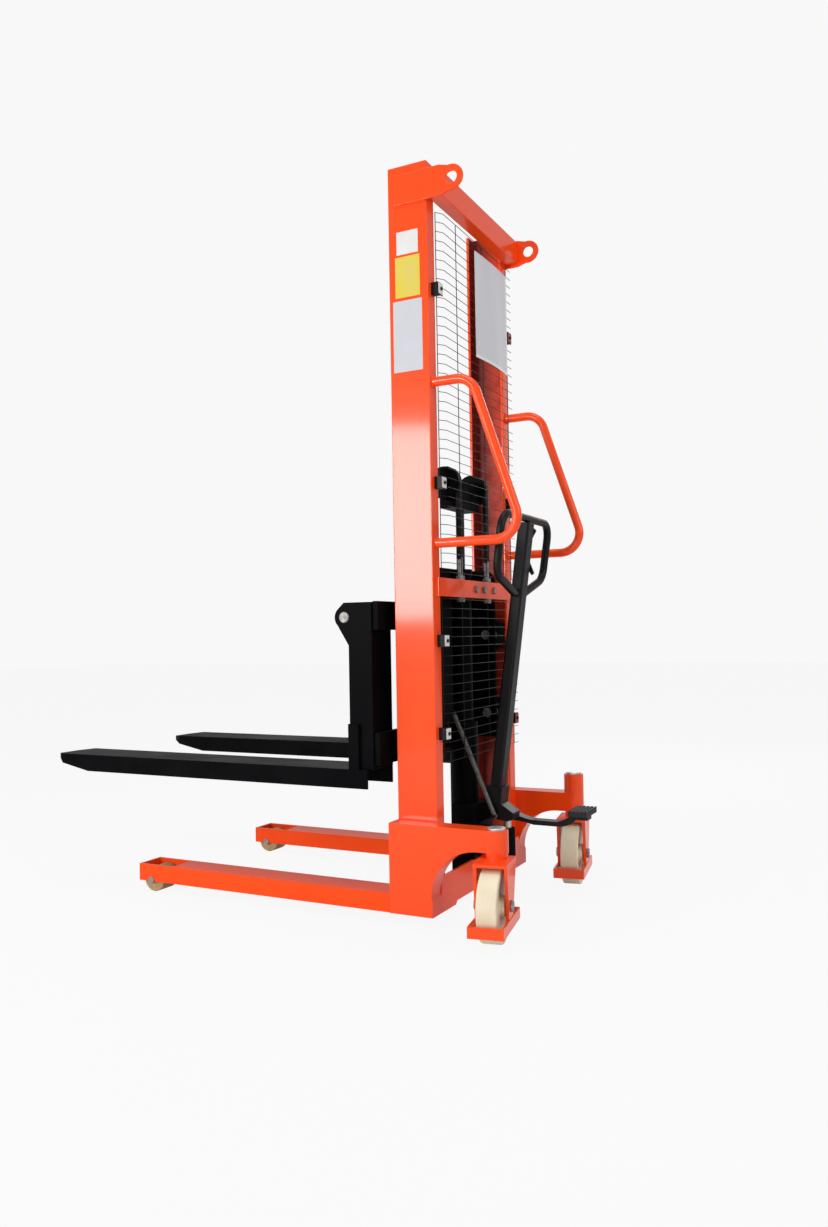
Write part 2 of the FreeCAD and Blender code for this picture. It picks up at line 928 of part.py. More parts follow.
group("pulley_pins", [make_pulley_pin("pulley_pin_left", 1), make_pulley_pin("pulley_pin_right", -1)])


def make_pulley(label, side):
    half = size("pulley_width") / 2
    bore = size("pulley_pin") + fit
    root = size("chain_radius") - size("chain_thick") / 2 - play
    rim = size("pulley_flange")
    seat = size("chain_width") / 2 + play
    near = [(bore, -half), (rim, -half), (rim, -seat), (root, -seat)]
    far = [(r, -z) for r, z in reversed(near)]
    pulley = turned(label, near + far)
    place(pulley, side * size("pulley_x"), size("ram_y"), size("pulley_z"), along_x)
    keep(pulley)


make_pulley("pulley_left", 1)
make_pulley("pulley_right", -1)


# Chains: waisted between the link pins, straight runs on both sides of the pulley and a wrap over it.
def chain_outline(low, high, centre):
    half = size("chain_thick") / 2
    waist = size("chain_waist") / 2
    count = round((high - low) / size("chain_pitch"))
    pitch = (high - low) / count
    right = [(centre + half, low)]
    for link in range(count):
        middle = low + (link + 0.5) * pitch
        right.append((centre + half, middle - pitch / 5))
        right.append((centre + waist, middle))
        right.append((centre + half, middle + pitch / 5))
    right.append((centre + half, high))
    left = [(2 * centre - y, z) for y, z in reversed(right)]
    return right + left


def make_chain_run(name, side, low, high, centre):
    body = new_body(name)
    start = side * size("pulley_x") - size("chain_width") / 2
    pad(body, "YZ_Plane", start, [chain_outline(low, high, centre)], "chain_width")
    place(body, 0, 0, 0)
    return body


def make_chain_wrap(name, side):
    y = size("ram_y")
    z = size("pulley_z")
    inner = size("chain_radius") - size("chain_thick") / 2
    outer = inner + size("chain_thick")
    outline = [(y + inner, z), (y + outer, z), ((y, z + outer), (y - outer, z)), (y - inner, z)]
    outline.append(((y, z + inner), (y + inner, z)))
    body = new_body(name)
    pad(body, "YZ_Plane", side * size("pulley_x") - size("chain_width") / 2, [outline], "chain_width")
    place(body, 0, 0, 0)
    return body


rear_runs = []
front_runs = []
wraps = []
for side, word in ((1, "left"), (-1, "right")):
    rear_runs.append(make_chain_run("rear_run_" + word, side, size("anchor_top"), size("pulley_z"), rear_run))
    front_runs.append(make_chain_run("front_run_" + word, side, size("chain_low"), size("pulley_z"), front_run))
    wraps.append(make_chain_wrap("wrap_" + word, side))
group("chain_rear", rear_runs)
group("chain_front", front_runs)
group("chain_wraps", wraps)


# Anchor bolts: they hold the chain ends above the middle beam, with a nut over it and a nut under it.
def make_anchor(name, side):
    rod = size("anchor_radius")
    low = size("mid_beam_low")
    high = size("mid_beam_high")
    tall = size("anchor_nut")
    rim = rod + size("anchor_nut_rim")
    profile = [(0, low - tall), (rim, low - tall), (rim, low), (rod, low)]
    profile += [(rod, high), (rim, high), (rim, high + tall)]
    profile += [(rod, high + tall), (rod, size("anchor_top")), (0, size("anchor_top"))]
    bolt = turned(name, profile)
    place(bolt, side * size("pulley_x"), rear_run, 0)
    return bolt


group("chain_anchors", [make_anchor("anchor_left", 1), make_anchor("anchor_right", -1)])


# Carriage between the posts.
def make_back():
    half = size("side_x") - size("side_plate")
    body = new_body("carriage_back")
    panel = rectangle(-half, size("side_low"), half, size("side_high"))
    pad(body, "XZ_Plane", -size("back_y") - size("back_plate"), [panel], "back_plate")
    place(body, 0, 0, 0)
    keep(body)


make_back()
bar_front = play - size("shank_back")
bar_rear = bar_front + size("bar_plate")
post_middle = size("post_depth") / 2


def make_side(name, side):
    low = size("side_low")
    high = size("side_high")
    rear = size("side_rear")
    chamfer = size("side_chamfer")
    crest = size("side_crest")
    tail = low - size("tail_drop")
    outline = [(bar_rear, tail), (bar_rear + size("tail_width"), tail), (bar_rear + size("tail_root"), low)]
    outline += [(rear, low), (rear, high - chamfer), (rear - chamfer, high), (crest, high)]
    outline.append((bar_rear, size("upper_bar_high") + crest))
    holes = []
    for z in (size("upper_roller"), size("lower_roller")):
        holes.append(("circle", post_middle, z, size("roller_pin") + fit))
    body = new_body(name)
    inner = size("side_x") - size("side_plate") if side > 0 else -size("side_x")
    pad(body, "YZ_Plane", inner, [outline] + holes, "side_plate")
    place(body, 0, 0, 0)
    return body


group("carriage_sides", [make_side("side_left", 1), make_side("side_right", -1)])


def make_bar(name, low, tall):
    half = size("bar_half")
    body = new_body(name)
    pad(body, "XY_Plane", low, [rectangle(-half, bar_front, half, bar_rear)], tall)
    place(body, 0, 0, 0)
    return body


upper_bar = make_bar("bar_upper", size("upper_bar_low"), "upper_bar_high - upper_bar_low")
lower_bar = make_bar("bar_lower", size("lower_bar_low"), "lower_bar_high - lower_bar_low")
group("carriage_crossbars", [upper_bar, lower_bar])


def make_bracket(name, side):
    y = -size("shaft_y")
    z = shaft_z
    radius = size("ear_radius")
    low = size("upper_bar_low")
    high = z + radius
    outline = [(bar_front, low), (bar_front, high), (y, high), ((y - radius, z), (y, z - radius))]
    outline.append((bar_front - size("bracket_foot"), low))
    inner = size("bracket_inner") if side > 0 else -size("bracket_inner") - size("bracket_plate")
    body = new_body(name)
    pad(body, "YZ_Plane", inner, [outline, ("circle", y, z, size("shaft_radius") + fit)], "bracket_plate")
    place(body, 0, 0, 0)
    return body


group("shaft_brackets", [make_bracket("bracket_left", 1), make_bracket("bracket_right", -1)])


def make_shaft():
    radius = size("shaft_radius")
    chamfer = size("shaft_chamfer")
    half = size("fork_outer") - size("shank_inset") + size("shaft_over")
    near = [(0, -half), (radius - chamfer, -half), (radius, chamfer - half)]
    far = [(r, -z) for r, z in reversed(near)]
    shaft = turned("fork_shaft", near + far)
    place(shaft, 0, -size("shaft_y"), shaft_z, along_x)
    keep(shaft)


make_shaft()


# Chain blocks on the back plate: the chain end sits in a slot in the top of each.
def make_chain_block(name, side):
    x = side * size("pulley_x")
    front = size("back_y") + size("back_plate")
    half = size("chain_width") / 2 + size("block_side")
    top = size("chain_low")
    low = size("side_low") + size("block_lift")
    thick = size("chain_thick") / 2
    reach = front_run + thick + size("block_lip")
    body = new_body(name)
    profile = [(front, low), (reach, low), (reach, top), (front, top + size("block_slope"))]
    pad(body, "YZ_Plane", x - half, [profile], "chain_width + 2 * block_side")
    inset = half - size("block_wall")
    slot = rectangle(x - inset, front_run - thick - play, x + inset, reach + play)
    pocket(body, "XY_Plane", top, [slot], "block_slope")
    place(body, 0, 0, 0)
    return body


group("chain_blocks", [make_chain_block("block_left", 1), make_chain_block("block_right", -1)])


roller_in = size("mast_half") - size("post_flange") + size("roller_inset")
roller_out = roller_in + size("roller_width")


def make_roller_pin(name, side, z):
    radius = size("roller_pin")
    rim = radius + size("roller_collar")
    plate = size("side_plate")
    start = size("side_x") - plate
    shoulder = roller_in - size("roller_gap") - start
    end = roller_out - start
    profile = [(0, 0), (radius, 0), (radius, plate), (rim, plate), (rim, shoulder), (radius, shoulder)]
    pin = turned(name, profile + [(radius, end), (0, end)])
    place(pin, side * start, post_middle, z, along_x if side > 0 else against_x)
    return pin


def make_roller(label, side, z):
    radius = post_middle - size("post_lip") - play
    roller = turned(label, rectangle(size("roller_pin") + fit, 0, radius, size("roller_width")))
    place(roller, roller_in if side > 0 else -roller_out, post_middle, z, along_x)
    keep(roller)


pins = []
for level, z in (("upper", size("upper_roller")), ("lower", size("lower_roller"))):
    for side, word in ((1, "left"), (-1, "right")):
        pins.append(make_roller_pin("pin_%s_%s" % (level, word), side, z))
        make_roller("roller_%s_%s" % (level, word), side, z)
group("roller_pins", pins)


# Forks: a channel blade, open below so that it settles over the leg, and a hollow hooked shank.
def make_fork(label, side):
    outer = size("fork_outer")
    wide = size("fork_width")
    low = size("fork_bottom")
    top = low + size("fork_height")
    tip = -size("fork_reach")
    heel = -size("heel_back")
    wall = size("fork_wall")
    skin = size("heel_skin")
    taper = tip + size("fork_taper")
    body = new_body(label)
    blade = [(heel, low), (taper, low), (tip, low + size("tip_rise")), (tip, top - size("tip_drop"))]
    blade += [(tip + size("tip_ramp"), top), (heel, top)]
    pad(body, "YZ_Plane", outer - wide if side > 0 else -outer, [blade], "fork_width")
    nose = size("fork_nose")
    inner = outer - wide + wall
    flank = outer - wall
    hollow = [(inner, heel + skin), (flank, heel + skin), (flank, taper), (flank - nose / 2, taper - nose)]
    hollow += [(inner + nose / 2, taper - nose), (inner, taper)]
    inside = [(side * x, y) for x, y in hollow]
    pocket(body, "XY_Plane", low - skin, [inside], "fork_height - fork_wall + heel_skin")
    corner = size("tip_corner")
    slant = size("tip_slant")
    for edge, inward in ((outer, -1), (outer - wide, 1)):
        over = edge - inward * skin
        chip = [(over, tip - skin), (edge + inward * corner, tip - skin), (over, tip + slant)]
        pocket(body, "XY_Plane", low - skin, [[(side * x, y) for x, y in chip]], "fork_height + 2 * heel_skin")
    front = -size("shank_front")
    back = -size("shank_back")
    reach = outer - size("shank_inset")
    root = reach - size("shank_width")
    shank_top = size("shank_top")
    shank_tall = "shank_top - fork_bottom - fork_height"
    pad(body, "XY_Plane", top, [rectangle(side * root, front, side * reach, back)], shank_tall)
    plate = size("shank_wall")
    core = rectangle(side * (root + plate), front + plate, side * (reach - plate), back - plate)
    pocket(body, "XY_Plane", top, [core], shank_tall)
    y = -size("shaft_y")
    z = shaft_z
    radius = size("ear_radius")
    slope = radius * math.sqrt(0.5)
    lap = size("ear_lap")
    ear = [(front + lap, shaft_z - size("ear_tall")), (y - slope, z - slope)]
    ear.append(((y - radius, z), (y - slope, z + slope)))
    ear += [(y - lap, shank_top), (front + lap, shank_top)]
    for start in (root, reach - size("ear_plate")):
        pad(body, "YZ_Plane", start if side > 0 else -start - size("ear_plate"), [ear], "ear_plate")
    shaft_hole = ("circle", y, z, size("shaft_radius") + fit)
    pocket(body, "YZ_Plane", root if side > 0 else -reach, [shaft_hole], "shank_width")
    gusset = rectangle(front, top, -size("gusset_back"), size("gusset_top"))
    pad(body, "YZ_Plane", reach if side > 0 else -reach - size("gusset_plate"), [gusset], "gusset_plate")
    place(body, 0, 0, 0)
    keep(body)


make_fork("fork_left", 1)
make_fork("fork_right", -1)


# Pump body: round tank about the barrel, pump block at its foot, and the two ears of the rocker pin.
ear_inner = size("rocker_half") + size("ear_gap")
ear_outer = ear_inner + size("pivot_ear")


def make_pump():
    half = size("block_half")
    front = size("block_front")
    rear = size("block_rear")
    shelf = size("rear_plate_top")
    ram_y = size("ram_y")
    y = size("pivot_y")
    z = size("pivot_z")
    body = new_body("pump_body")
    block_tall = "block_top - base_bottom - notch_rise - floor_plate"
    pad(body, "XY_Plane", floor_top, [rectangle(-half, front, half, plate_front)], block_tall)
    pad(body, "XY_Plane", shelf, [rectangle(-half, front, half, rear)], "block_top - rear_plate_top")
    tank = ("circle", 0, ram_y, size("tank_radius"))
    pad(body, "XY_Plane", floor_top, [tank], "tank_top - base_bottom - notch_rise - floor_plate")
    root = rear - size("ear_root")
    boss = size("pivot_boss")
    aside = boss * math.sin(math.radians(size("ear_slope")))
    along = boss * math.cos(math.radians(size("ear_slope")))
    ear = [(root, z - size("ear_drop")), (y + aside, z - along)]
    ear += [((y + boss, z), (y - aside, z + along)), (root, z + along)]
    for start in (ear_inner, -ear_outer):
        pad(body, "YZ_Plane", start, [ear], "pivot_ear")
    boss_y = size("plunger_y")
    wall = size("boss_wall")
    round_boss = size("plunger_radius") + wall
    web = [(-round_boss, root), (round_boss, root), (round_boss, boss_y)]
    web.append(((0, boss_y + round_boss), (-round_boss, boss_y)))
    pad(body, "XY_Plane", shelf, [web], "boss_top - rear_plate_top")
    bore = ("circle", 0, boss_y, size("plunger_radius") + fit)
    pocket(body, "XY_Plane", shelf + wall, [bore], "boss_top - rear_plate_top")
    barrel = ("circle", 0, ram_y, size("barrel_radius") + fit)
    pocket(body, "XY_Plane", floor_top, [barrel], "tank_top")
    pin_hole = ("circle", y, z, size("pivot_pin") + fit)
    pocket(body, "YZ_Plane", -ear_outer, [pin_hole], "2 * rocker_half + 2 * ear_gap + 2 * pivot_ear")
    place(body, 0, 0, 0)
    keep(body)


make_pump()


def make_plunger():
    radius = size("plunger_radius")
    body = turned("pump_plunger", rectangle(0, size("plunger_low"), radius, size("plunger_top")))
    place(body, 0, size("plunger_y"), 0)
    keep(body)


make_plunger()


def make_rocker_pin():
    radius = size("pivot_pin")
    rim = radius + size("pivot_rim")
    end = ear_outer + size("pin_head")
    profile = [(0, -end), (rim, -end), (rim, -ear_outer), (radius, -ear_outer)]
    profile += [(radius, ear_outer), (rim, ear_outer)]
    pin = turned("rocker_pin", profile + [(rim, end), (0, end)])
    place(pin, 0, size("pivot_y"), size("pivot_z"), along_x)
    keep(pin)


make_rocker_pin()


# The rocker, the tiller and the loop share a frame that leans back about the rocker pin.
lean = FreeCAD.Rotation(FreeCAD.Vector(1, 0, 0), -size("tiller_lean"))


def place_on_tiller(thing):
    place(thing, 0, size("pivot_y"), size("pivot_z"), lean)


def make_rocker():
    half = size("rocker_half")
    front = size("rocker_front")
    rear = size("rocker_rear")
    low = size("rocker_low")
    foot = size("socket_foot")
    outline = [(-front, -low), (rear - size("rocker_heel"), -low), (rear, size("rocker_bevel") - low)]
    outline += [(rear, size("rocker_toe")), (size("rocker_shoulder"), foot), (-front, foot)]
    body = new_body("pump_rocker")
    pad(body, "YZ_Plane", -half, [outline], "2 * rocker_half")
    wide = size("tiller_wide") / 2
    deep = size("tiller_deep") / 2
    wall = size("socket_wall")
    outer = rectangle(-wide - wall, -deep - wall, wide + wall, deep + wall)
    pad(body, "XY_Plane", foot, [outer, rectangle(-wide, -deep, wide, deep)], "socket_height")
    pocket(body, "YZ_Plane", -half, [("circle", 0, 0, size("pivot_pin") + fit)], "2 * rocker_half")
    peg = ("circle", size("peg_y"), -size("peg_z"), size("peg_radius"))
    pad(body, "YZ_Plane", half - size("tiller_clear"), [peg], "spring_x - rocker_half + tiller_clear + peg_over")
    place_on_tiller(body)
    keep(body)


make_rocker()
tiller_top = size("loop_grip") - size("loop_radius") - size("tiller_clear")
lever_z = size("loop_grip") - size("lever_drop")


def make_tiller():
    wide = size("tiller_wide") / 2
    deep = size("tiller_deep") / 2
    bend = size("tiller_round")
    wall = size("tiller_wall")
    hook = bend * (1 - math.sqrt(0.5))
    outline = [(bend - wide, -deep), (wide - bend, -deep)]
    outline += [((wide - hook, hook - deep), (wide, bend - deep)), (wide, deep - bend)]
    outline += [((wide - hook, deep - hook), (wide - bend, deep)), (bend - wide, deep)]
    outline += [((hook - wide, deep - hook), (-wide, deep - bend)), (-wide, bend - deep)]
    outline += [((hook - wide, hook - deep), (bend - wide, -deep))]
    bore = rectangle(wall - wide, wall - deep, wide - wall, deep - wall)
    body = new_body("tiller_tube")
    tube_tall = "loop_grip - loop_radius - tiller_clear - socket_foot"
    pad(body, "XY_Plane", size("socket_foot"), [outline, bore], tube_tall)
    hub = size("lever_hub")
    peg = ("circle", 0, lever_z, size("lever_peg"))
    pad(body, "YZ_Plane", -wide - hub - wall / 2, [peg], "lever_hub + tiller_wall")
    place_on_tiller(body)
    keep(body)


make_tiller()


def make_loop():
    half = size("loop_half")
    grip = size("loop_grip")
    join = grip - size("loop_tall")
    knee = join + size("loop_tilt")
    foot = half - size("loop_splay")
    start = size("tiller_wide") / 2
    stub = start + size("loop_stub")
    right = [(start, 0, join), (stub, 0, join), (foot, 0, knee), (half, 0, grip)]
    left = [(-x, y, z) for x, y, z in reversed(right)]
    loop = bent_bar("tiller_loop", right + left, size("loop_bend"), size("loop_radius"))
    place_on_tiller(loop)


make_loop()


# Lowering lever hung on the peg beside the tiller, with a thumb piece above and a hooked tip below.
def make_lever():
    x = -size("tiller_wide") / 2 - play
    grip = size("loop_grip")
    hub = size("lever_hub")
    half = size("lever_half")
    thumb_y = size("lever_thumb_y")
    thumb_z = grip - size("lever_thumb_z")
    neck_z = grip - size("lever_neck_z")
    tip_y = size("lever_tip_y")
    tip_z = grip - size("lever_tip_z")
    outline = [(-half, neck_z), (thumb_y - half, thumb_z), (thumb_y, thumb_z - half), (half, neck_z - half)]
    outline += [(half, lever_z), (tip_y, tip_z + half), (tip_y - half, tip_z), (-half, lever_z - 2 * half)]
    body = new_body("control_lever")
    inset = (hub - size("lever_blade")) / 2
    pad(body, "YZ_Plane", x - hub + inset, [outline], "lever_blade")
    pad(body, "YZ_Plane", x - hub, [("circle", 0, lever_z, size("lever_boss"))], "lever_hub")
    pocket(body, "YZ_Plane", x - hub, [("circle", 0, lever_z, size("lever_peg") + fit)], "lever_hub")
    place_on_tiller(body)
    keep(body)


make_lever()


# Pedal: a cranked flat bar beside the rocker and a ribbed pad on its end.
def make_pedal():
    bar = size("pedal_bar")
    rear = size("pad_rear")
    front = rear - size("pad_long")
    high = size("pad_z")
    low = size("pedal_low")
    root = size("pivot_y") + size("pedal_root")
    knee = size("pedal_knee")
    heel = size("pedal_heel")
    tail = rear - size("pedal_end")
    dip = ((root + knee) / 2, (high + low) / 2 - size("pedal_sag"))
    lift = ((heel + front) / 2, (high + low) / 2 - size("pedal_sag"))
    body = new_body("pedal_arm")
    outline = [(root, high), (dip, (knee, low)), (heel, low), (lift, (front, high))]
    outline += [(tail, high), (tail, high - bar), (front + bar, high - bar)]
    outline += [((lift[0] + bar, lift[1] - bar), (heel, low - bar)), (knee, low - bar)]
    outline += [((dip[0], dip[1] - bar), (root, high - 2 * bar))]
    start = -size("rocker_half") - size("pedal_wide")
    pad(body, "YZ_Plane", start, [outline], "pedal_wide")
    place(body, 0, 0, 0)
    keep(body)
    middle = start + size("pedal_wide") / 2
    top = high + size("pad_thick")
    groove = size("pad_groove")
    count = 5
    step = (rear - front) / count
    ribs = [(front, high), (rear, high), (rear, top)]
    for rib in range(count):
        edge = rear - rib * step
        ribs += [(edge - step / 2, top), (edge - step / 2 - groove / 2, top - groove)]
        ribs += [(edge - step + groove / 2, top - groove), (edge - step, top)]
    tread = new_body("pedal_pad")
    pad(tread, "YZ_Plane", middle - size("pad_wide") / 2, [ribs], "pad_wide")
    place(tread, 0, 0, 0)
    keep(tread)


make_pedal()


# An arc that leaves a point along a tangent and ends at another point.
def tangent_arc(begin, tangent, finish):
    way = finish - begin
    across = way - tangent * way.dot(tangent)
    bow = across.Length
    run = way.dot(tangent)
    bend = (run * run + bow * bow) / (2 * bow)
    centre = begin + across.normalize() * bend
    outward = ((begin + finish) * 0.5 - centre).normalize()
    return Part.Arc(begin, centre + outward * bend, finish).toShape()


# Return spring: one wire wound on a slanted axis from the ear of the barrel to the peg of the rocker.
def make_spring():
    radius = size("spring_radius")
    wire = size("spring_wire") / 2
    turns = int(size("spring_turns"))
    peg = lean.multVec(FreeCAD.Vector(0, size("peg_y"), -size("peg_z")))
    bottom = FreeCAD.Vector(size("spring_x"), size("pivot_y") + peg.y, size("pivot_z") + peg.z)
    top = FreeCAD.Vector(size("spring_x"), size("spring_top_y"), size("spring_top_z"))
    axis = (top - bottom).normalize()
    low = size("spring_foot")
    lift = ((top - bottom).Length - low - size("spring_head")) / turns

    def on_helix(angle):
        rise = low + lift * angle / (2 * math.pi)
        return FreeCAD.Vector(radius * math.cos(angle), radius * math.sin(angle), rise)

    def heading(angle):
        climb = lift / (2 * math.pi)
        return FreeCAD.Vector(-radius * math.sin(angle), radius * math.cos(angle), climb).normalize()

    begin = on_helix(0) - heading(0) * (2 * wire)
    edges = [Part.makeLine(begin, on_helix(0))]
    for part in range(turns * 2):
        start = on_helix(part * math.pi)
        end = on_helix((part + 1) * math.pi)
        into = heading(part * math.pi)
        out = heading((part + 1) * math.pi)
        chord = end - start
        spread = chord.dot(into + out)
        closing = 2 - 2 * into.dot(out)
        reach = (-spread + math.sqrt(spread * spread + closing * chord.dot(chord))) / closing
        first = start + into * reach
        second = end - out * reach
        joint = (first + second) * 0.5
        edges.append(tangent_arc(start, into, joint))
        edges.append(tangent_arc(joint, (second - first).normalize(), end))
    last = turns * 2 * math.pi
    edges.append(Part.makeLine(on_helix(last), on_helix(last) + heading(last) * (2 * wire)))
    across = FreeCAD.Vector(0, 0, 1).cross(heading(0)).normalize()
    upward = heading(0).cross(across)
    ring = [begin + way * wire for way in (across, upward, -across, -upward, across)]
    print("spring least self gap %.2f mm" % (lift - 2 * wire))
    spring = doc.addObject("Part::Feature", "tension_spring")
    spring.Label = "tension_spring"
    spring.Shape = Part.Wire(edges).makePipeShell([Part.makePolygon(ring)], True, False)
    place(spring, bottom.x, bottom.y, bottom.z, FreeCAD.Rotation(FreeCAD.Vector(0, 0, 1), axis))
    keep(spring)


make_spring()

doc.recompute()

for thing in doc.Objects:
    if "Invalid" in thing.State or "Error" in thing.State:
        raise RuntimeError("%s is not built: %s" % (thing.Label, thing.State))
for node in nodes:
    if node.Shape.isNull() or not node.Shape.isValid() or not node.Shape.Solids:
        raise RuntimeError("%s has no valid solid" % node.Label)

os.makedirs("parts", exist_ok=True)
for node in nodes:
    node.Shape.exportStep("parts/%s.step" % node.Label)
    box = node.Shape.BoundBox
    corners = (box.XMin, box.YMin, box.ZMin, box.XMax, box.YMax, box.ZMax)
    print("%s, %d solids, %.0f mm3, from %.0f %.0f %.0f to %.0f %.0f %.0f" % (
        node.Label, len(node.Shape.Solids), node.Shape.Volume, *corners))
print("%d nodes" % len(nodes))
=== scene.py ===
import math

import bpy
from mathutils import Matrix, Vector


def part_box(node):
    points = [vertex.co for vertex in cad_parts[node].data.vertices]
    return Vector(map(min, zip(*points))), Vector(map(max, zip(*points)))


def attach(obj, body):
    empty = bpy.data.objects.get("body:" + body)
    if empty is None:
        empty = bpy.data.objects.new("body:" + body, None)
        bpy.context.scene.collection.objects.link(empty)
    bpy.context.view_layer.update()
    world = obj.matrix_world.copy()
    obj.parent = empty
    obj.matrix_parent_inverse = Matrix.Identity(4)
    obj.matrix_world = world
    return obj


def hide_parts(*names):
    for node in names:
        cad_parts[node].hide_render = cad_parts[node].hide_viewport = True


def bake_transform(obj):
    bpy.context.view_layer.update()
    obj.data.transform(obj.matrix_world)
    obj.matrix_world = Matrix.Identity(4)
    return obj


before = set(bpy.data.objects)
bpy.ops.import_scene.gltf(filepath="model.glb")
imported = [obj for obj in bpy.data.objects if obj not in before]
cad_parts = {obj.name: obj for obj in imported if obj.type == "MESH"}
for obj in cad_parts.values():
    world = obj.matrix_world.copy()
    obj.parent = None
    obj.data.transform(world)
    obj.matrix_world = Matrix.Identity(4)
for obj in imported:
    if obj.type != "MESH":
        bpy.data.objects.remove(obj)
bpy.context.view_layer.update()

# Camera: the stacker is seen from its left rear corner at about table height, through a
# moderately wide lens. The image is 828 by 1227 pixels, and the focal length and the shift
# of the centre are in those pixels.
image_tall = 1227
focal_length = 970.3
centre_right = 0.4
centre_up = 2.0
eye = Vector((2.4799, 1.5940, 0.7457))
turn = math.radians(27.2)
tilt = math.radians(1.1)
roll = math.radians(-1.0)
ahead = Vector((-math.cos(turn) * math.cos(tilt), -math.sin(turn) * math.cos(tilt), math.sin(tilt)))
level = Vector((-math.sin(turn), math.cos(turn), 0))
plumb = level.cross(ahead)
right = level * math.cos(roll) + plumb * math.sin(roll)
upward = plumb * math.cos(roll) - level * math.sin(roll)
bpy.ops.object.camera_add(location=eye)
camera = bpy.context.object
stance = Matrix((right, upward, -ahead)).transposed().to_4x4()
camera.matrix_world = Matrix.Translation(eye) @ stance
camera.data.sensor_width = 36
camera.data.lens = camera.data.sensor_width * focal_length / image_tall
camera.data.shift_x = centre_right / image_tall
camera.data.shift_y = centre_up / image_tall
bpy.context.scene.camera = camera


# Studio: a pale floor that runs into a pale surround, a soft box ahead of the mast that
# leaves one highlight on the near post, and broad lamps on all the other sides and above.
class Mix:
    """A socket of a finish; sums and products of it add Math nodes."""

    def __init__(self, tree, socket=None):
        self.tree = tree
        self.socket = socket

    def node(self, kind, settings, sockets, out=0):
        made = self.tree.nodes.new(kind)
        for name, value in settings.items():
            setattr(made, name, value)
        for name, value in sockets.items():
            if isinstance(value, Mix):
                self.tree.links.new(value.socket, made.inputs[name])
            else:
                made.inputs[name].default_value = value
        return Mix(self.tree, made.outputs[out])

    def maths(self, operation, first, second):
        return self.node("ShaderNodeMath", {"operation": operation}, {0: first, 1: second})

    def __add__(self, other):
        return self.maths("ADD", self, other)

    __radd__ = __add__

    def __mul__(self, other):
        return self.maths("MULTIPLY", self, other)


glossy_share = 0.5


def seen_rays(tree):
    start = Mix(tree)
    camera_ray = start.node("ShaderNodeLightPath", {}, {}, "Is Camera Ray")
    glossy_ray = start.node("ShaderNodeLightPath", {}, {}, "Is Glossy Ray")
    clear_ray = start.node("ShaderNodeLightPath", {}, {}, "Is Transmission Ray")
    return camera_ray + glossy_ray * glossy_share + clear_ray


floor_colour = (0.88, 0.88, 0.88, 1)
floor_shine = (0.96, 0.96, 0.96, 1)
floor_glow = 0.95
floor_span = 40
bpy.ops.object.select_all(action="DESELECT")
bpy.ops.mesh.primitive_plane_add(size=floor_span, location=(0, 0, 0))
floor = bpy.context.object
floor.name = "floor"
floor_finish = bpy.data.materials.new("studio_floor")
floor_finish.use_nodes = True
floor_tree = floor_finish.node_tree
floor_shader = floor_tree.nodes["Principled BSDF"]
floor_shader.inputs["Base Color"].default_value = floor_colour
floor_shader.inputs["Roughness"].default_value = 0.9
floor_shader.inputs["Specular IOR Level"].default_value = 0.1
matte = Mix(floor_tree, floor_shader.outputs[0])
lit = matte.node("ShaderNodeEmission", {}, {"Color": floor_shine, "Strength": 1.0})
glowing = seen_rays(floor_tree) * floor_glow
shown = matte.node("ShaderNodeMixShader", {}, {0: glowing, 1: matte, 2: lit})
floor_tree.links.new(shown.socket, floor_tree.nodes["Material Output"].inputs["Surface"])
floor.data.materials.append(floor_finish)

dim_colour = (0.93, 0.93, 0.93, 1)
dim_strength = 0.3
pale_colour = (0.939, 0.939, 0.939, 1)
world = bpy.data.worlds.new("studio")
bpy.context.scene.world = world
world.use_nodes = True
world_tree = world.node_tree
surround = world_tree.nodes["Background"]
surround.inputs["Color"].default_value = dim_colour
surround.inputs["Strength"].default_value = dim_strength
dim = Mix(world_tree, surround.outputs[0])
pale = dim.node("ShaderNodeBackground", {}, {"Color": pale_colour, "Strength": 1.0})
chosen = dim.node("ShaderNodeMixShader", {}, {0: seen_rays(world_tree), 1: dim, 2: pale})
world_tree.links.new(chosen.socket, world_tree.nodes["World Output"].inputs["Surface"])
bpy.context.scene.view_settings.view_transform = "Standard"


def softbox(name, place, aim, width, height, power):
    bpy.ops.object.light_add(type="AREA", location=place)
    lamp = bpy.context.object
    lamp.name = name
    lamp.data.shape = "RECTANGLE"
    lamp.data.size = width
    lamp.data.size_y = height
    lamp.data.energy = power
    lamp.rotation_euler = (Vector(aim) - Vector(place)).to_track_quat("-Z", "Y").to_euler()


softbox("side_lamp", (3.7, -1.34, 1.48), (0.2, 0.44, 1.04), 0.66, 1.28, 62)
softbox("front_lamp", (2.4, -3.2, 2.2), (0, 0.3, 0.8), 1.6, 1.6, 36)
softbox("fill_lamp", (4.0, 0.5, 0.8), (0.1, 0.45, 0.7), 0.7, 1.6, 20)
softbox("top_lamp", (0.8, 0.6, 4.6), (0, 0.4, 0.9), 2.6, 2.6, 60)
softbox("back_lamp", (0.9, 4.2, 2.4), (0, 0.4, 0.9), 2.0, 2.0, 50)
softbox("far_lamp", (-3.6, 0.3, 2.2), (0, 0.4, 0.9), 1.6, 1.6, 34)


# Mast posts: two rolled steel channels that open toward each other, welded to the base
# and sprayed in a bright red-orange gloss. Their inner tracks carry painted shade.
def new_finish(name):
    material = bpy.data.materials.new(name)
    material.use_nodes = True
    shader = material.node_tree.nodes["Principled BSDF"]
    start = Mix(material.node_tree)
    place = start.node("ShaderNodeTexCoord", {}, {}, "Object")
    return material, shader, place


def feed(shader, socket, value):
    value.tree.links.new(value.socket, shader.inputs[socket])


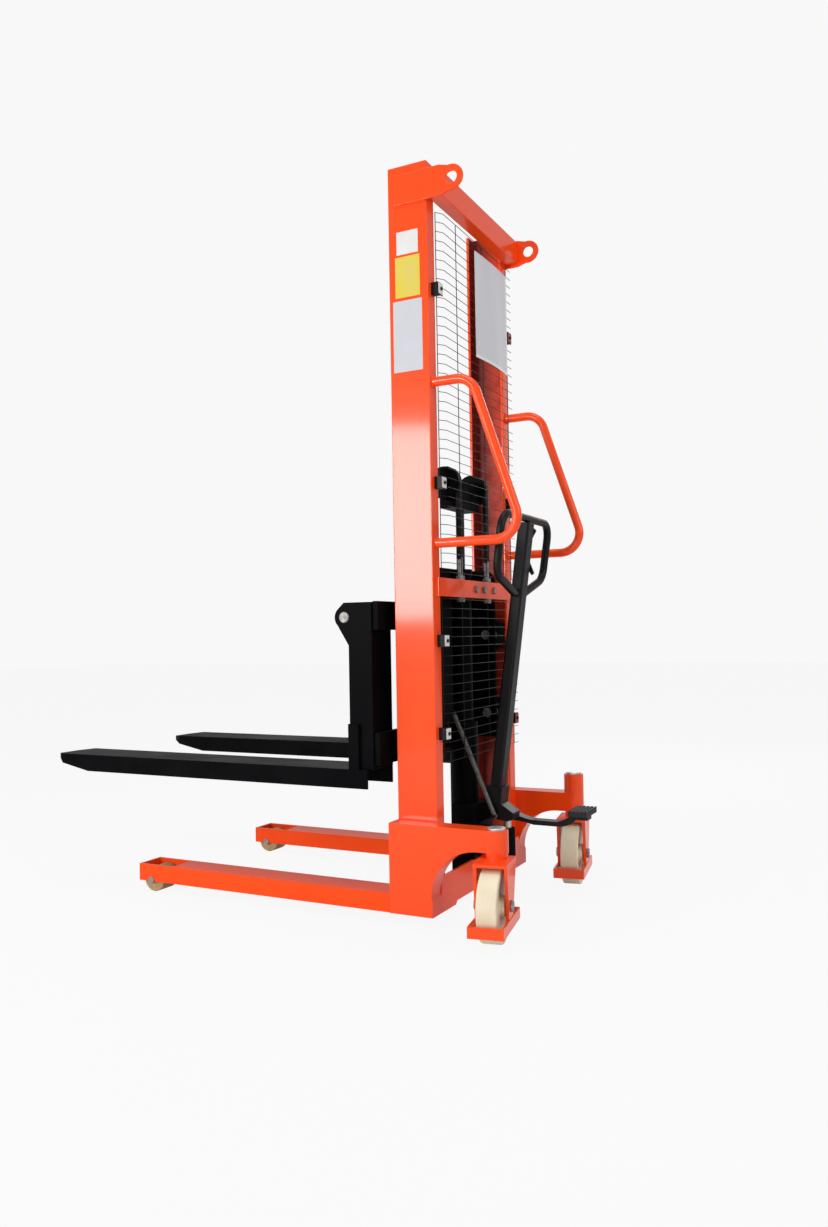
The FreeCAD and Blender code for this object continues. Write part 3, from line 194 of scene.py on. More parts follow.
def noise(place, scale, detail=4, roughness=0.55):
    sockets = {"Vector": place, "Scale": scale, "Detail": detail, "Roughness": roughness}
    return place.node("ShaderNodeTexNoise", {}, sockets)


def between(value, low, high):
    sockets = {"Value": value, "From Min": low, "From Max": high}
    return value.node("ShaderNodeMapRange", {"interpolation_type": "SMOOTHSTEP"}, sockets)


def blend_colour(amount, first, second):
    return amount.node("ShaderNodeMix", {"data_type": "RGBA"}, {0: amount, 6: first, 7: second}, 2)


def bump(height, strength, distance):
    sockets = {"Height": height, "Strength": strength, "Distance": distance}
    return height.node("ShaderNodeBump", {}, sockets)


red_paint, red_shader, at = new_finish("red_gloss_paint")
cloud = between(noise(at, 3.0, 3), 0.3, 0.7)
dust = between(noise(at, 55, 8, 0.7), 0.6, 0.82)
peel = noise(at, 260, 2)
red_deep = (0.90, 0.065, 0.004, 1)
red_light = (0.95, 0.073, 0.006, 1)
red_dusty = (0.52, 0.20, 0.12, 1)
red_tone = blend_colour(cloud, red_deep, red_light)
red_tone = blend_colour(dust * 0.08, red_tone, red_dusty)
feed(red_shader, "Base Color", red_tone)
feed(red_shader, "Roughness", 0.3 + cloud * 0.03 + dust * 0.15)
feed(red_shader, "Normal", bump(peel, 0.06, 0.0006))
red_shader.inputs["Specular IOR Level"].default_value = 0.1
red_shader.inputs["Coat Weight"].default_value = 0.5
red_shader.inputs["Coat Roughness"].default_value = 0.09


def only(piece):
    bpy.ops.object.select_all(action="DESELECT")
    piece.select_set(True)
    bpy.context.view_layer.objects.active = piece


def cut_block(name, low, high):
    low = Vector(low)
    high = Vector(high)
    bpy.ops.object.select_all(action="DESELECT")
    bpy.ops.mesh.primitive_cube_add(size=1, location=(low + high) / 2)
    block = bpy.context.object
    block.name = name
    block.scale = high - low
    bpy.ops.object.transform_apply(location=True, rotation=True, scale=True)
    return block


turned_edge = math.radians(40)
smooth_edge = math.radians(35)


def rounded(piece, width, segments=2):
    only(piece)
    edge = piece.modifiers.new("edge", "BEVEL")
    edge.width = width
    edge.segments = segments
    edge.limit_method = "ANGLE"
    edge.angle_limit = turned_edge
    bpy.ops.object.modifier_apply(modifier="edge")


def coated(piece, finish):
    only(piece)
    piece.data.materials.clear()
    piece.data.materials.append(finish)
    bpy.ops.object.shade_smooth_by_angle(angle=smooth_edge)
    return piece


def painted(piece, finish, body):
    coated(piece, finish)
    flat = piece.modifiers.new("flat", "WEIGHTED_NORMAL")
    flat.keep_sharp = True
    bpy.ops.object.modifier_apply(modifier="flat")
    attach(piece, body)
    return piece


# A spot is in millimetres from the middle of the mast's front face, at the floor.
mast_x = -0.044316
mast_y = 0.383


def spot(x, y, z):
    return Vector((x / 1000 + mast_x, y / 1000 + mast_y, z / 1000))


post_web = 0.008
post_lip = 0.009
post_round = 0.0025
past_end = 0.05
face_slack = 0.0005
end_face = 0.5
track_dark = 0.398
track_light = 0.475
track_shade = (0.14, 0.011, 0.006, 1)
track_red = (0.62, 0.048, 0.014, 1)
track_blotch_dark = (0.16, 0.014, 0.008, 1)
# Painted shade in the tracks: a darker red, darkest beside the front lip where its shadow falls, lighter
# toward the rear lip, with darker blotches.
track_paint_with_shade, track_shade_shader, at = new_finish("red_track_painted_shade")
track_blotches = between(noise(at, 22, 5, 0.6), 0.35, 0.75)
track_y = at.node("ShaderNodeSeparateXYZ", {}, {0: at}, 1)
shade = between(track_y, track_dark, track_light)
track_tone = blend_colour(shade, track_shade, track_red)
feed(track_shade_shader, "Base Color", blend_colour(track_blotches * 0.35, track_tone, track_blotch_dark))
feed(track_shade_shader, "Roughness", 0.4 + track_blotches * 0.2)
track_shade_shader.inputs["Specular IOR Level"].default_value = 0.2
for side, word in ((1, "left"), (-1, "right")):
    low, high = (Vector(corner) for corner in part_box("post_" + word))
    channel = cut_block("post_%s_channel" % word, low, high)
    room_low = Vector((low.x - past_end, low.y + post_lip, low.z - past_end))
    room_high = Vector((high.x - post_web, high.y - post_lip, high.z + past_end))
    if side < 0:
        room_low.x = low.x + post_web
        room_high.x = high.x + past_end
    room = cut_block("room", room_low, room_high)
    only(channel)
    cut = channel.modifiers.new("cut", "BOOLEAN")
    cut.operation = "DIFFERENCE"
    cut.object = room
    bpy.ops.object.modifier_apply(modifier="cut")
    bpy.data.objects.remove(room)
    rounded(channel, post_round, 3)
    painted(channel, red_paint, "chassis")
    channel.data.materials.append(track_paint_with_shade)
    for face in channel.data.polygons:
        inside_x = room_low.x - face_slack < face.center.x < room_high.x + face_slack
        inside_y = room_low.y - face_slack < face.center.y < room_high.y + face_slack
        if inside_x and inside_y and abs(face.normal.z) < end_face:
            face.material_index = 1
    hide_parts("post_" + word)


# Blank plates on the outer face of the near post: thin film stuck to the paint, left bare,
# in white, yellow and silver grey, with softened edges.
plate_thick = 0.8
plate_round = 0.0003
post_face = 276
white_film = (0.72, 0.72, 0.71, 1)
yellow_film = (0.68, 0.54, 0.055, 1)
silver_film = (0.55, 0.56, 0.61, 1)
faded_film = (0.55, 0.52, 0.46, 1)
film_plates = (
    ("plate_small", 24, 87, 1744, 1805, white_film),
    ("plate_yellow", 19, 91, 1630, 1738, yellow_film),
    ("plate_large", 11, 96, 1434, 1622, silver_film),
)
for name, front, rear, bottom, top, colour in film_plates:
    film, film_shader, at = new_finish(name + "_film")
    fade = between(noise(at, 25, 6), 0.3, 0.8)
    feed(film_shader, "Base Color", blend_colour(fade * 0.25, colour, faded_film))
    feed(film_shader, "Roughness", 0.5 + fade * 0.15)
    film_shader.inputs["Specular IOR Level"].default_value = 0.25
    low = spot(post_face, front, bottom)
    high = spot(post_face + plate_thick, rear, top)
    plate = cut_block(name, low, high)
    rounded(plate, plate_round)
    painted(plate, film, "chassis")


# Base and beams: cheeks with their wheel arches, the cross plate, the legs and the beams
# between the posts, all welded from plate and painted with the posts. The paint of the legs
# is duller.
doubled = 0.00002
nearly_flat = math.radians(0.5)


def eased(node, body, width, finish):
    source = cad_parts[node]
    copy = bpy.data.objects.new(node + "_dressed", source.data.copy())
    bpy.context.collection.objects.link(copy)
    only(copy)
    bpy.ops.object.mode_set(mode="EDIT")
    bpy.ops.mesh.select_all(action="SELECT")
    bpy.ops.mesh.remove_doubles(threshold=doubled)
    bpy.ops.mesh.dissolve_limited(angle_limit=nearly_flat)
    bpy.ops.object.mode_set(mode="OBJECT")
    if width > 0:
        rounded(copy, width)
    painted(copy, finish, body)
    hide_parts(node)


no_edge = 0
plate_edge = 0.002
yoke_edge = 0.0012
dulled_coat = 0.12
for node in ("cheek_left", "cheek_right", "top_beam", "mid_beam", "lifting_lugs"):
    eased(node, "chassis", plate_edge, red_paint)
dulled_red = red_paint.copy()
dulled_red.name = "dulled_red_paint"
dulled_red.node_tree.nodes["Principled BSDF"].inputs["Coat Weight"].default_value = dulled_coat
for node in ("leg_left", "leg_right"):
    eased(node, "chassis", plate_edge, dulled_red)
for node in ("base_rear_plate", "base_floor", "handle_left", "handle_right"):
    eased(node, "chassis", no_edge, red_paint)
eased("caster_yoke_left", "caster_left", yoke_edge, red_paint)
eased("caster_yoke_right", "caster_right", yoke_edge, red_paint)


# Weld beads under the paint: short runs of overlapping drops at the feet of the posts, the
# lugs and the middle beam, and a ring round each end of the grab handles.
def repeated(piece, count, step):
    only(piece)
    row = piece.modifiers.new("row", "ARRAY")
    row.count = count
    row.use_relative_offset = False
    row.use_constant_offset = True
    row.constant_offset_displace = step
    bpy.ops.object.modifier_apply(modifier="row")
    return piece


def joined(name, pieces):
    bpy.ops.object.select_all(action="DESELECT")
    for piece in pieces:
        piece.select_set(True)
    bpy.context.view_layer.objects.active = pieces[0]
    bpy.ops.object.join()
    whole = bpy.context.object
    whole.name = name
    whole.data.name = name
    return whole


bead_radius = 0.0024
bead_pitch = 0.0026
bead_swell = 0.0004
bead_ripples = 24


def weld_run(start, end):
    way = end - start
    bpy.ops.object.select_all(action="DESELECT")
    bpy.ops.mesh.primitive_ico_sphere_add(subdivisions=2, radius=bead_radius, location=start)
    drop = bpy.context.object
    bpy.ops.object.transform_apply(location=True, rotation=True, scale=True)
    count = int(way.length / bead_pitch) + 1
    return repeated(drop, count, way.normalized() * bead_pitch)


def weld_ring(centre, radius):
    bpy.ops.object.select_all(action="DESELECT")
    facing_rear = (math.radians(90), 0, 0)
    bpy.ops.mesh.primitive_torus_add(major_radius=radius, minor_radius=bead_radius, major_segments=48,
                                     minor_segments=8, location=centre, rotation=facing_rear)
    ring = bpy.context.object
    bpy.ops.object.transform_apply(location=True, rotation=True, scale=True)
    for vertex in ring.data.vertices:
        around = math.atan2(vertex.co.z - centre.z, vertex.co.x - centre.x)
        swell = bead_swell * math.cos(bead_ripples * around)
        vertex.co += (vertex.co - centre).normalized() * swell
    return ring


weld_face = post_face + 1
post_rear = 115
beam_end = 261
weld_lines = (
    ((weld_face, 4, 263), (weld_face, 110, 263)),
    ((weld_face, 24, 1873), (weld_face, 112, 1873)),
    ((weld_face, 21, 1876), (weld_face, 21, 1953)),
    ((beam_end, post_rear, 846), (beam_end, post_rear, 890)),
)
handle_x = 255
handle_ends = (981, 1402)
handle_weld = 0.0132
beads = []
for side in (1, -1):
    for (start_x, start_y, start_z), (end_x, end_y, end_z) in weld_lines:
        start = spot(side * start_x, start_y, start_z)
        beads.append(weld_run(start, spot(side * end_x, end_y, end_z)))
    for end_z in handle_ends:
        beads.append(weld_ring(spot(side * handle_x, post_rear, end_z), handle_weld))
weld_beads = joined("weld_beads", beads)
painted(weld_beads, red_paint, "chassis")


# Wire guard: round steel wires welded in rows on four uprights, painted black. The rows
# turn in to the near post and run past the far upright in short ends.
black_paint, black_shader, at = new_finish("satin_black_paint")
cloud = between(noise(at, 6.0, 4), 0.35, 0.7)
rub = between(noise(at, 90, 8, 0.72), 0.62, 0.8)
black_deep = (0.0040, 0.0039, 0.0042, 1)
black_rubbed = (0.0105, 0.0103, 0.0106, 1)
black_tone = blend_colour(cloud * 0.5 + rub * 0.35, black_deep, black_rubbed)
feed(black_shader, "Base Color", black_tone)
feed(black_shader, "Roughness", 0.36 + cloud * 0.12 + rub * 0.15)
feed(black_shader, "Normal", bump(noise(at, 320, 2), 0.08, 0.0005))
black_shader.inputs["Specular IOR Level"].default_value = 0.17


def rod_between(name, start, end, radius, sides):
    way = end - start
    bpy.ops.object.select_all(action="DESELECT")
    middle = (start + end) / 2
    bpy.ops.mesh.primitive_cylinder_add(vertices=sides, radius=radius, depth=way.length, location=middle)
    rod = bpy.context.object
    rod.name = name
    rod.rotation_euler = way.to_track_quat("Z", "Y").to_euler()
    bpy.ops.object.transform_apply(location=True, rotation=True, scale=True)
    return rod


row_radius = 0.0009
upright_radius = 0.0012
wire_sides = 8
guard_half = 238
wire_y = 130.4
upright_y = 128.4
turned_in = 212
post_edge = (232, 117)
row_pitch = 25
panels = ((907, 39), (412, 18))
near_upright = (post_edge[0] - 2, post_edge[1] - 1)
uprights = ((-236, upright_y), (-48, upright_y), (129, upright_y), near_upright)
stub_end = -266
wires = []
for first_row, count in panels:
    far_end = spot(-guard_half, wire_y, first_row)
    bend = spot(turned_in, wire_y, first_row)
    row = rod_between("row", far_end, bend, row_radius, wire_sides)
    turn_in = rod_between("row", bend, spot(*post_edge, first_row), row_radius, wire_sides)
    wires.append(repeated(joined("row", [row, turn_in]), count, (0, 0, row_pitch / 1000)))
    last_row = first_row + row_pitch * (count - 1)
    for x, y in uprights:
        foot = spot(x, y, first_row - 1)
        head = spot(x, y, last_row + 1)
        wires.append(rod_between("upright", foot, head, upright_radius, wire_sides))
    for number in range(count):
        z = first_row + row_pitch * number
        if min(abs(z - end) for end in handle_ends) > row_pitch:
            tip = spot(stub_end, wire_y, z)
            root = spot(-guard_half, wire_y, z)
            wires.append(rod_between("stub", tip, root, row_radius, wire_sides))
guard = joined("guard_wires", wires)
painted(guard, black_paint, "chassis")
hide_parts("guard_panels")


# Guard clips: small black straps bent over the edge of the mesh, each with a square
# washer, pale on the near post and red on the far one, under one dark bolt.
pale_washer, pale_shader, at = new_finish("pale_washer")
grime = between(noise(at, 70, 6, 0.65), 0.5, 0.8)
pale_clean = (0.74, 0.73, 0.71, 1)
pale_grimy = (0.42, 0.40, 0.37, 1)
feed(pale_shader, "Base Color", blend_colour(grime, pale_clean, pale_grimy))
feed(pale_shader, "Roughness", 0.4 + grime * 0.2)
dull_red, dull_red_shader, at = new_finish("dull_red_washer")
grime = between(noise(at, 70, 6, 0.65), 0.4, 0.8)
dull_red_clean = (0.30, 0.022, 0.01, 1)
dull_red_grimy = (0.12, 0.014, 0.008, 1)
feed(dull_red_shader, "Base Color", blend_colour(grime, dull_red_clean, dull_red_grimy))
feed(dull_red_shader, "Roughness", 0.45 + grime * 0.2)


head_sides = 6
head_round = 0.18
rearward = Vector((0, 1, 0))


def hex_head(name, place, radius, height):
    bolt = rod_between(name, place, place + rearward * height, radius, head_sides)
    rounded(bolt, height * head_round)
    return bolt


small_edge = 0.0006
eased("guard_clips", "chassis", small_edge, black_paint)
clip_x = 244
clip_back = 135
washer_half = 13
washer_tall = 14
washer_thick = 1.2
washer_round = 0.0005
clip_bolt_radius = 0.005
clip_bolt_height = 0.004
clip_heights = (1647, 1139, 727, 486)
clip_bolts = []
for side, word, finish in ((1, "left", pale_washer), (-1, "right", dull_red)):
    washers = []
    for height in clip_heights:
        x = side * clip_x
        low = spot(x - washer_half, clip_back, height - washer_tall)
        high = spot(x + washer_half, clip_back + washer_thick, height + washer_tall)
        washer = cut_block("washer", low, high)
        rounded(washer, washer_round)
        washers.append(washer)
        middle = spot(x, clip_back + washer_thick, height)
        clip_bolts.append(hex_head("clip_bolt", middle, clip_bolt_radius, clip_bolt_height))
    plates = joined("clip_washers_" + word, washers)
    painted(plates, finish, "chassis")
bolts = joined("clip_bolts", clip_bolts)
painted(bolts, black_paint, "chassis")


# Document sleeve: a blank sheet in a clear plastic pocket that hangs on the guard, bowed
# a little outward between its hung corners.
sheet_bow = 0.007
sheet_wall = 0.0012
hem_outer = 0.006
hem_inner = 0.011
hem_colour = (0.80, 0.81, 0.82, 1)
paper_dark = (0.63, 0.63, 0.67, 1)
paper_light = (0.70, 0.69, 0.73, 1)
hang_scale = (9, 9, 1.6)
film_low, film_high = (Vector(corner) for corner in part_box("document_sleeve"))
bpy.ops.object.select_all(action="DESELECT")
bpy.ops.mesh.primitive_grid_add(x_subdivisions=16, y_subdivisions=20, size=1)
sleeve = bpy.context.object
sleeve.name = "sleeve_sheet"
sleeve.scale = (film_high.x - film_low.x, film_high.z - film_low.z, 1)
sleeve.rotation_euler = (math.radians(90), 0, math.radians(180))
sleeve.location = ((film_low.x + film_high.x) / 2, film_high.y, (film_low.z + film_high.z) / 2)
bpy.ops.object.transform_apply(location=True, rotation=True, scale=True)
for vertex in sleeve.data.vertices:
    across = (vertex.co.x - film_low.x) / (film_high.x - film_low.x)
    down = (film_high.z - vertex.co.z) / (film_high.z - film_low.z)
    vertex.co.y += sheet_bow * math.sin(math.pi * across) * (0.5 + 0.5 * down)
only(sleeve)
wall = sleeve.modifiers.new("wall", "SOLIDIFY")
wall.thickness = sheet_wall
wall.offset = 0
bpy.ops.object.modifier_apply(modifier="wall")
sheet_film, sheet_shader, at = new_finish("blank_sheet_in_film")
hung = at.node("ShaderNodeMapping", {}, {"Vector": at, "Scale": hang_scale})
ripple = noise(hung, 1, 2)
sheet_x = at.node("ShaderNodeSeparateXYZ", {}, {0: at}, 0)
edge_x = between(sheet_x, film_low.x + hem_outer, film_low.x + hem_inner)
sheet_z = at.node("ShaderNodeSeparateXYZ", {}, {0: at}, 2)
edge_z = between(sheet_z, film_low.z + hem_outer, film_low.z + hem_inner)
paper = blend_colour(between(ripple, 0.3, 0.7), paper_dark, paper_light)
feed(sheet_shader, "Base Color", blend_colour(edge_x * edge_z, hem_colour, paper))
feed(sheet_shader, "Roughness", 0.55 + ripple * 0.12)
feed(sheet_shader, "Normal", bump(ripple, 0.12, 0.004))
sheet_shader.inputs["Specular IOR Level"].default_value = 0.12
painted(sleeve, sheet_film, "chassis")
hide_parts("document_sleeve")


# Carriage, forks, cylinder and pump: welded and turned steel in a deep black enamel, with
# faint clouds and fine rub marks.
enamel, enamel_shader, at = new_finish("deep_black_enamel")
cloud = between(noise(at, 6.0, 4), 0.35, 0.7)
rub = between(noise(at, 90, 8, 0.72), 0.62, 0.8)
enamel_deep = (0.0012, 0.0013, 0.0018, 1)
enamel_rubbed = (0.0045, 0.0046, 0.0052, 1)
enamel_tone = blend_colour(cloud * 0.5 + rub * 0.35, enamel_deep, enamel_rubbed)
feed(enamel_shader, "Base Color", enamel_tone)
feed(enamel_shader, "Roughness", 0.42 + cloud * 0.1 + rub * 0.15)
feed(enamel_shader, "Normal", bump(noise(at, 240, 2), 0.08, 0.0005))
enamel_shader.inputs["Specular IOR Level"].default_value = 0.032
carriage_edge = 0.0015
fork_edge = 0.003
cast_edge = 0.001
pin_edge = 0.0008
carriage_nodes = ("carriage_back", "carriage_sides", "carriage_crossbars", "shaft_brackets", "chain_blocks")
for node in carriage_nodes:
    eased(node, "carriage", carriage_edge, enamel)
eased("fork_left", "fork_left_body", fork_edge, enamel)
eased("fork_right", "fork_right_body", fork_edge, enamel)
for node in ("pump_body", "lift_cylinder"):
    eased(node, "chassis", cast_edge, enamel)
for node in ("cylinder_gland", "rocker_pin"):
    eased(node, "chassis", small_edge, enamel)
eased("pulley_pins", "crosshead", pin_edge, enamel)
eased("crosshead_yoke", "crosshead", cast_edge, enamel)
eased("pulley_left", "pulley_left_body", no_edge, enamel)
eased("pulley_right", "pulley_right_body", no_edge, enamel)


# Rocker, tiller, handle loop, lowering lever and pedal arm: bent and welded steel in the
# same satin black as the guard.
for node in ("pump_rocker", "tiller_tube", "pedal_arm"):
    eased(node, "rocker", cast_edge, black_paint)
eased("tiller_loop", "rocker", no_edge, black_paint)
eased("control_lever", "lever", cast_edge, black_paint)


# Pedal pad: moulded black rubber with ribs on top, pushed over the end of the pedal arm.
# It is matt and a little chalky.
rubber, rubber_shader, at = new_finish("pedal_rubber")
chalk = between(noise(at, 120, 8, 0.7), 0.5, 0.8)
rubber_black = (0.012, 0.012, 0.012, 1)
rubber_chalky = (0.05, 0.048, 0.045, 1)
feed(rubber_shader, "Base Color", blend_colour(chalk, rubber_black, rubber_chalky))
feed(rubber_shader, "Roughness", 0.62 + chalk * 0.2)
rubber_shader.inputs["Specular IOR Level"].default_value = 0.25
eased("pedal_pad", "rocker", pin_edge, rubber)


# Caps of the caster sleeves, roller pins and pump plunger: steel turned and zinc plated, a
# pale metal with a soft, slightly uneven sheen.
zinc, zinc_shader, at = new_finish("zinc_plate")
cloud = between(noise(at, 60, 6, 0.6), 0.3, 0.75)
zinc_dark = (0.46, 0.46, 0.45, 1)
zinc_light = (0.66, 0.66, 0.63, 1)
feed(zinc_shader, "Base Color", blend_colour(cloud, zinc_dark, zinc_light))
feed(zinc_shader, "Roughness", 0.3 + cloud * 0.22)
zinc_shader.inputs["Metallic"].default_value = 0.9
feed(zinc_shader, "Normal", bump(noise(at, 500, 3), 0.1, 0.0003))
eased("sleeve_caps", "chassis", small_edge, zinc)
eased("roller_pins", "carriage", no_edge, zinc)
eased("pump_plunger", "plunger", cast_edge, zinc)


# Axles, chain anchors and the fork shaft: turned steel bars, left bare, greyed and browned
# by use.
dull_steel, dull_shader, at = new_finish("dull_turned_steel")
stain = between(noise(at, 45, 6, 0.65), 0.35, 0.75)
steel_grey = (0.30, 0.30, 0.30, 1)
steel_brown = (0.17, 0.14, 0.11, 1)
feed(dull_shader, "Base Color", blend_colour(stain, steel_grey, steel_brown))
feed(dull_shader, "Roughness", 0.42 + stain * 0.2)
dull_shader.inputs["Metallic"].default_value = 0.7
feed(dull_shader, "Normal", bump(noise(at, 500, 3), 0.1, 0.0003))
for node in ("leg_axles", "chain_anchors"):
    eased(node, "chassis", small_edge, dull_steel)
eased("caster_axle_left", "caster_left", cast_edge, dull_steel)
eased("caster_axle_right", "caster_right", cast_edge, dull_steel)
eased("fork_shaft", "carriage", cast_edge, dull_steel)


# Piston rod and carriage rollers: turned steel, left bare and dulled dark by oil. The rod
# carries the crosshead, and the rollers run in the tracks of the posts.
oiled, oiled_shader, at = new_finish("oiled_steel")
film_of_oil = between(noise(at, 40, 6, 0.6), 0.3, 0.75)
oil_dark = (0.010, 0.010, 0.010, 1)
oil_light = (0.032, 0.031, 0.029, 1)
feed(oiled_shader, "Base Color", blend_colour(film_of_oil, oil_dark, oil_light))
feed(oiled_shader, "Roughness", 0.32 + film_of_oil * 0.2)
oiled_shader.inputs["Metallic"].default_value = 0.8
eased("piston_rod", "crosshead", no_edge, oiled)
for level_word in ("upper", "lower"):
    for word in ("left", "right"):
        name = "roller_%s_%s" % (level_word, word)
        eased(name, name + "_body", cast_edge, oiled)


# Lifting chains: leaf chains of riveted steel plates, oiled like the rod. They run from the
# anchors on the middle beam up over the pulleys and down to the blocks of the carriage.
link_pitch = 0.017327
plate_radius = 0.0066
plate_depth = 0.0021
plate_sides = 12
rivet_half = 0.0098
rivet_radius = 0.0026
rivet_sides = 10
above_foot = 0.0001
outer_plates = (-0.0075, -0.0025, 0.0025, 0.0075)
inner_plates = (-0.005, 0, 0.005)


def link_plates(name, offsets, foot):
    plates = []
    for x in offsets:
        start = Vector((x - plate_depth / 2, 0, foot))
        plate = rod_between(name, start, start + Vector((plate_depth, 0, 0)), plate_radius, plate_sides)
        bpy.ops.object.mode_set(mode="EDIT")
        bpy.ops.mesh.select_all(action="DESELECT")
        bpy.ops.object.mode_set(mode="OBJECT")
        for vertex in plate.data.vertices:
            vertex.select = vertex.co.z > foot + above_foot
        bpy.ops.object.mode_set(mode="EDIT")
        bpy.ops.transform.translate(value=(0, 0, link_pitch))
        bpy.ops.object.mode_set(mode="OBJECT")
        plates.append(plate)
    rivet_start = Vector((-rivet_half, 0, foot))
    rivet_end = Vector((rivet_half, 0, foot))
    plates.append(rod_between(name, rivet_start, rivet_end, rivet_radius, rivet_sides))
    return joined(name, plates)


def copied(piece, name, matrix):
    twin = piece.copy()
    twin.data = piece.data.copy()
    twin.name = name
    bpy.context.collection.objects.link(twin)
    twin.data.transform(matrix)
    return twin


chain_places = (93, -93)
chain_rear_y = 108
chain_front_y = 28
anchor_z = 955
block_z = 470
hub_y = 68
hub_z = 1163
rear_pairs = 6
front_pairs = 20


def chain_run(name, y, low, pairs):
    outer = link_plates("outer", outer_plates, 0)
    inner = link_plates("inner", inner_plates, link_pitch)
    pair = repeated(joined("pair", [outer, inner]), pairs, (0, 0, 2 * link_pitch))
    runs = [copied(pair, "run", Matrix.Translation(spot(x, y, low))) for x in chain_places]
    bpy.data.objects.remove(pair)
    return coated(joined(name, runs), oiled)


rear_chain = chain_run("chain_rear_links", chain_rear_y, anchor_z, rear_pairs)
rear_low = spot(0, chain_rear_y, anchor_z)
rear_high = spot(0, chain_rear_y, hub_z)
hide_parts("chain_rear")
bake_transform(rear_chain)
front_chain = chain_run("chain_front_links", chain_front_y, block_z, front_pairs)
front_high = spot(0, chain_front_y, hub_z)
front_low = spot(0, chain_front_y, block_z)
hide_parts("chain_front")
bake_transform(front_chain)

wrap_links = 7
wrap_radius = 0.040
wrap_step = math.pi / wrap_links
outer_link = link_plates("outer", outer_plates, 0)
inner_link = link_plates("inner", inner_plates, 0)
wrap_pieces = []
for x in chain_places:
    hub = spot(x, hub_y, hub_z)
    for number in range(wrap_links):
        angle = number * wrap_step
        foot = hub + Vector((0, wrap_radius * math.cos(angle), wrap_radius * math.sin(angle)))
        way = Matrix.Translation(foot) @ Matrix.Rotation(angle + wrap_step / 2, 4, "X")
        wrap_pieces.append(copied(inner_link if number % 2 else outer_link, "wrap", way))
bpy.data.objects.remove(outer_link)
bpy.data.objects.remove(inner_link)
wrap = painted(joined("chain_wrap_links", wrap_pieces), oiled, "crosshead")
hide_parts("chain_wraps")


# Return spring: hard-drawn wire wound close, with a ring at each end, one hooked in the
# ear of the barrel and one over the peg of the rocker.
spring_top = spot(50, 60, 524)
spring_foot = spot(50, 178.8, 242.7)
coil_radius = 0.0054
wire = 0.0013
turns = 92
turn_steps = 12
spring_sides = 7
end_gap = 0.006
joint_gap = 0.000001
axis = (spring_top - spring_foot).normalized()
run = (spring_top - spring_foot).length - 2 * end_gap
bpy.ops.object.select_all(action="DESELECT")
bpy.ops.mesh.primitive_circle_add(vertices=spring_sides, radius=wire, location=(coil_radius, 0, 0),
                                  rotation=(math.radians(90), 0, 0))
spring = bpy.context.object
bpy.ops.object.transform_apply(location=True, rotation=True, scale=True)
wind = spring.modifiers.new("wind", "SCREW")
wind.angle = 2 * math.pi * turns
wind.screw_offset = run
wind.steps = turn_steps * turns
wind.render_steps = turn_steps * turns
wind.axis = "Z"
wind.use_merge_vertices = False
bpy.ops.object.modifier_apply(modifier="wind")
lean = axis.to_track_quat("Z", "Y").to_matrix().to_4x4()
spring.data.transform(Matrix.Translation(spring_foot + axis * end_gap) @ lean)
rings = [spring]
for centre in (spring_top, spring_foot):
    bpy.ops.object.select_all(action="DESELECT")
    bpy.ops.mesh.primitive_torus_add(major_radius=coil_radius, minor_radius=wire, major_segments=24,
                                     minor_segments=8, location=centre, rotation=(0, math.radians(90), 0))
    bpy.ops.object.transform_apply(location=True, rotation=True, scale=True)
    rings.append(bpy.context.object)
spring = joined("spring_coil", rings)
only(spring)
bpy.ops.object.mode_set(mode="EDIT")
bpy.ops.mesh.select_all(action="SELECT")
bpy.ops.mesh.remove_doubles(threshold=joint_gap)
bpy.ops.mesh.select_non_manifold()
bpy.ops.mesh.edge_face_add()
bpy.ops.mesh.select_all(action="SELECT")
bpy.ops.mesh.normals_make_consistent(inside=False)
bpy.ops.object.mode_set(mode="OBJECT")
spring_wire, spring_shader, at = new_finish("drawn_spring_wire")
tarnish = between(noise(at, 80, 6, 0.6), 0.3, 0.75)
wire_bright = (0.26, 0.25, 0.24, 1)
wire_dark = (0.13, 0.125, 0.12, 1)
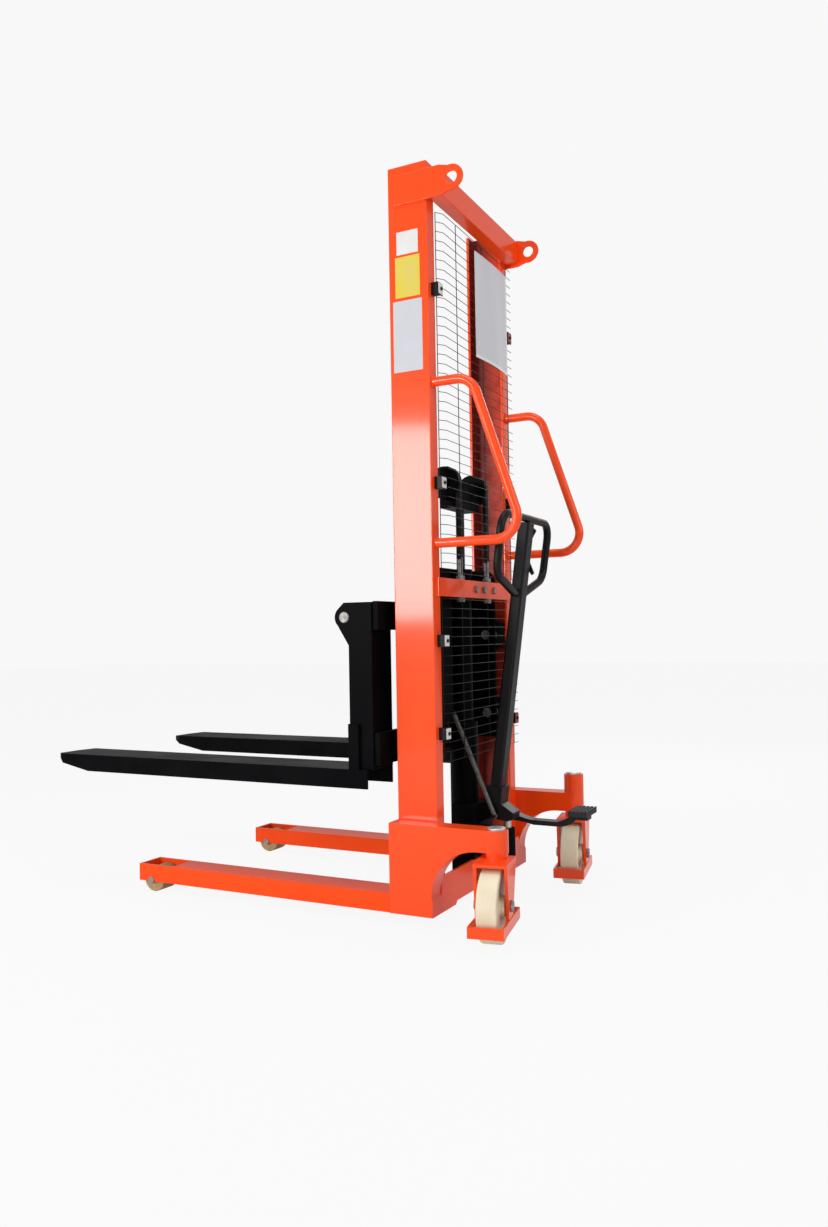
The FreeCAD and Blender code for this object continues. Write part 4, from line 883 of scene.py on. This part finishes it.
feed(spring_shader, "Base Color", blend_colour(tarnish, wire_bright, wire_dark))
feed(spring_shader, "Roughness", 0.34 + tarnish * 0.15)
spring_shader.inputs["Metallic"].default_value = 0.85
coated(spring, spring_wire)
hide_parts("tension_spring")
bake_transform(spring)


# Bolts of the middle beam: three dull hex heads through its rear face, beside the chain
# anchors.
beam_rear = 122
beam_bolt_z = 868
beam_bolt_radius = 0.0105
beam_bolt_height = 0.0065
beam_bolts = []
for x in (20, -40, -111):
    place = spot(x, beam_rear, beam_bolt_z)
    beam_bolts.append(hex_head("bolt", place, beam_bolt_radius, beam_bolt_height))
frame_bolts = joined("beam_bolts", beam_bolts)
painted(frame_bolts, dull_steel, "chassis")


# Wheels and load rollers: cast cream nylon, turned on the tread. The small load rollers
# are painted a darker brown, as painted shade for the shadow under the legs.
nylon, nylon_shader, at = new_finish("cream_nylon")
cloud = between(noise(at, 14, 5), 0.3, 0.75)
scuff = between(noise(at, 130, 8, 0.7), 0.58, 0.8)
nylon_deep = (0.74, 0.64, 0.45, 1)
nylon_light = (0.82, 0.73, 0.55, 1)
nylon_scuffed = (0.45, 0.38, 0.28, 1)
nylon_tone = blend_colour(cloud, nylon_deep, nylon_light)
feed(nylon_shader, "Base Color", blend_colour(scuff * 0.35, nylon_tone, nylon_scuffed))
feed(nylon_shader, "Roughness", 0.42 + scuff * 0.25)
feed(nylon_shader, "Normal", bump(noise(at, 400, 2), 0.08, 0.0004))
# Painted shade on the load rollers: a darker brown nylon, mottled at random.
rolled, rolled_shader, at = new_finish("nylon_painted_shade")
roller_mottle = between(noise(at, 60, 7, 0.65), 0.3, 0.75)
shaded_nylon_light = (0.50, 0.34, 0.17, 1)
shaded_nylon_dark = (0.33, 0.22, 0.11, 1)
feed(rolled_shader, "Base Color", blend_colour(roller_mottle, shaded_nylon_light, shaded_nylon_dark))
feed(rolled_shader, "Roughness", 0.5 + roller_mottle * 0.2)
rolled_shader.inputs["Specular IOR Level"].default_value = 0.2
wheel_edge = 0.003
for word in ("left", "right"):
    eased("caster_wheel_" + word, "caster_wheel_%s_body" % word, wheel_edge, nylon)
    eased("load_roller_" + word, "load_roller_%s_body" % word, wheel_edge, rolled)
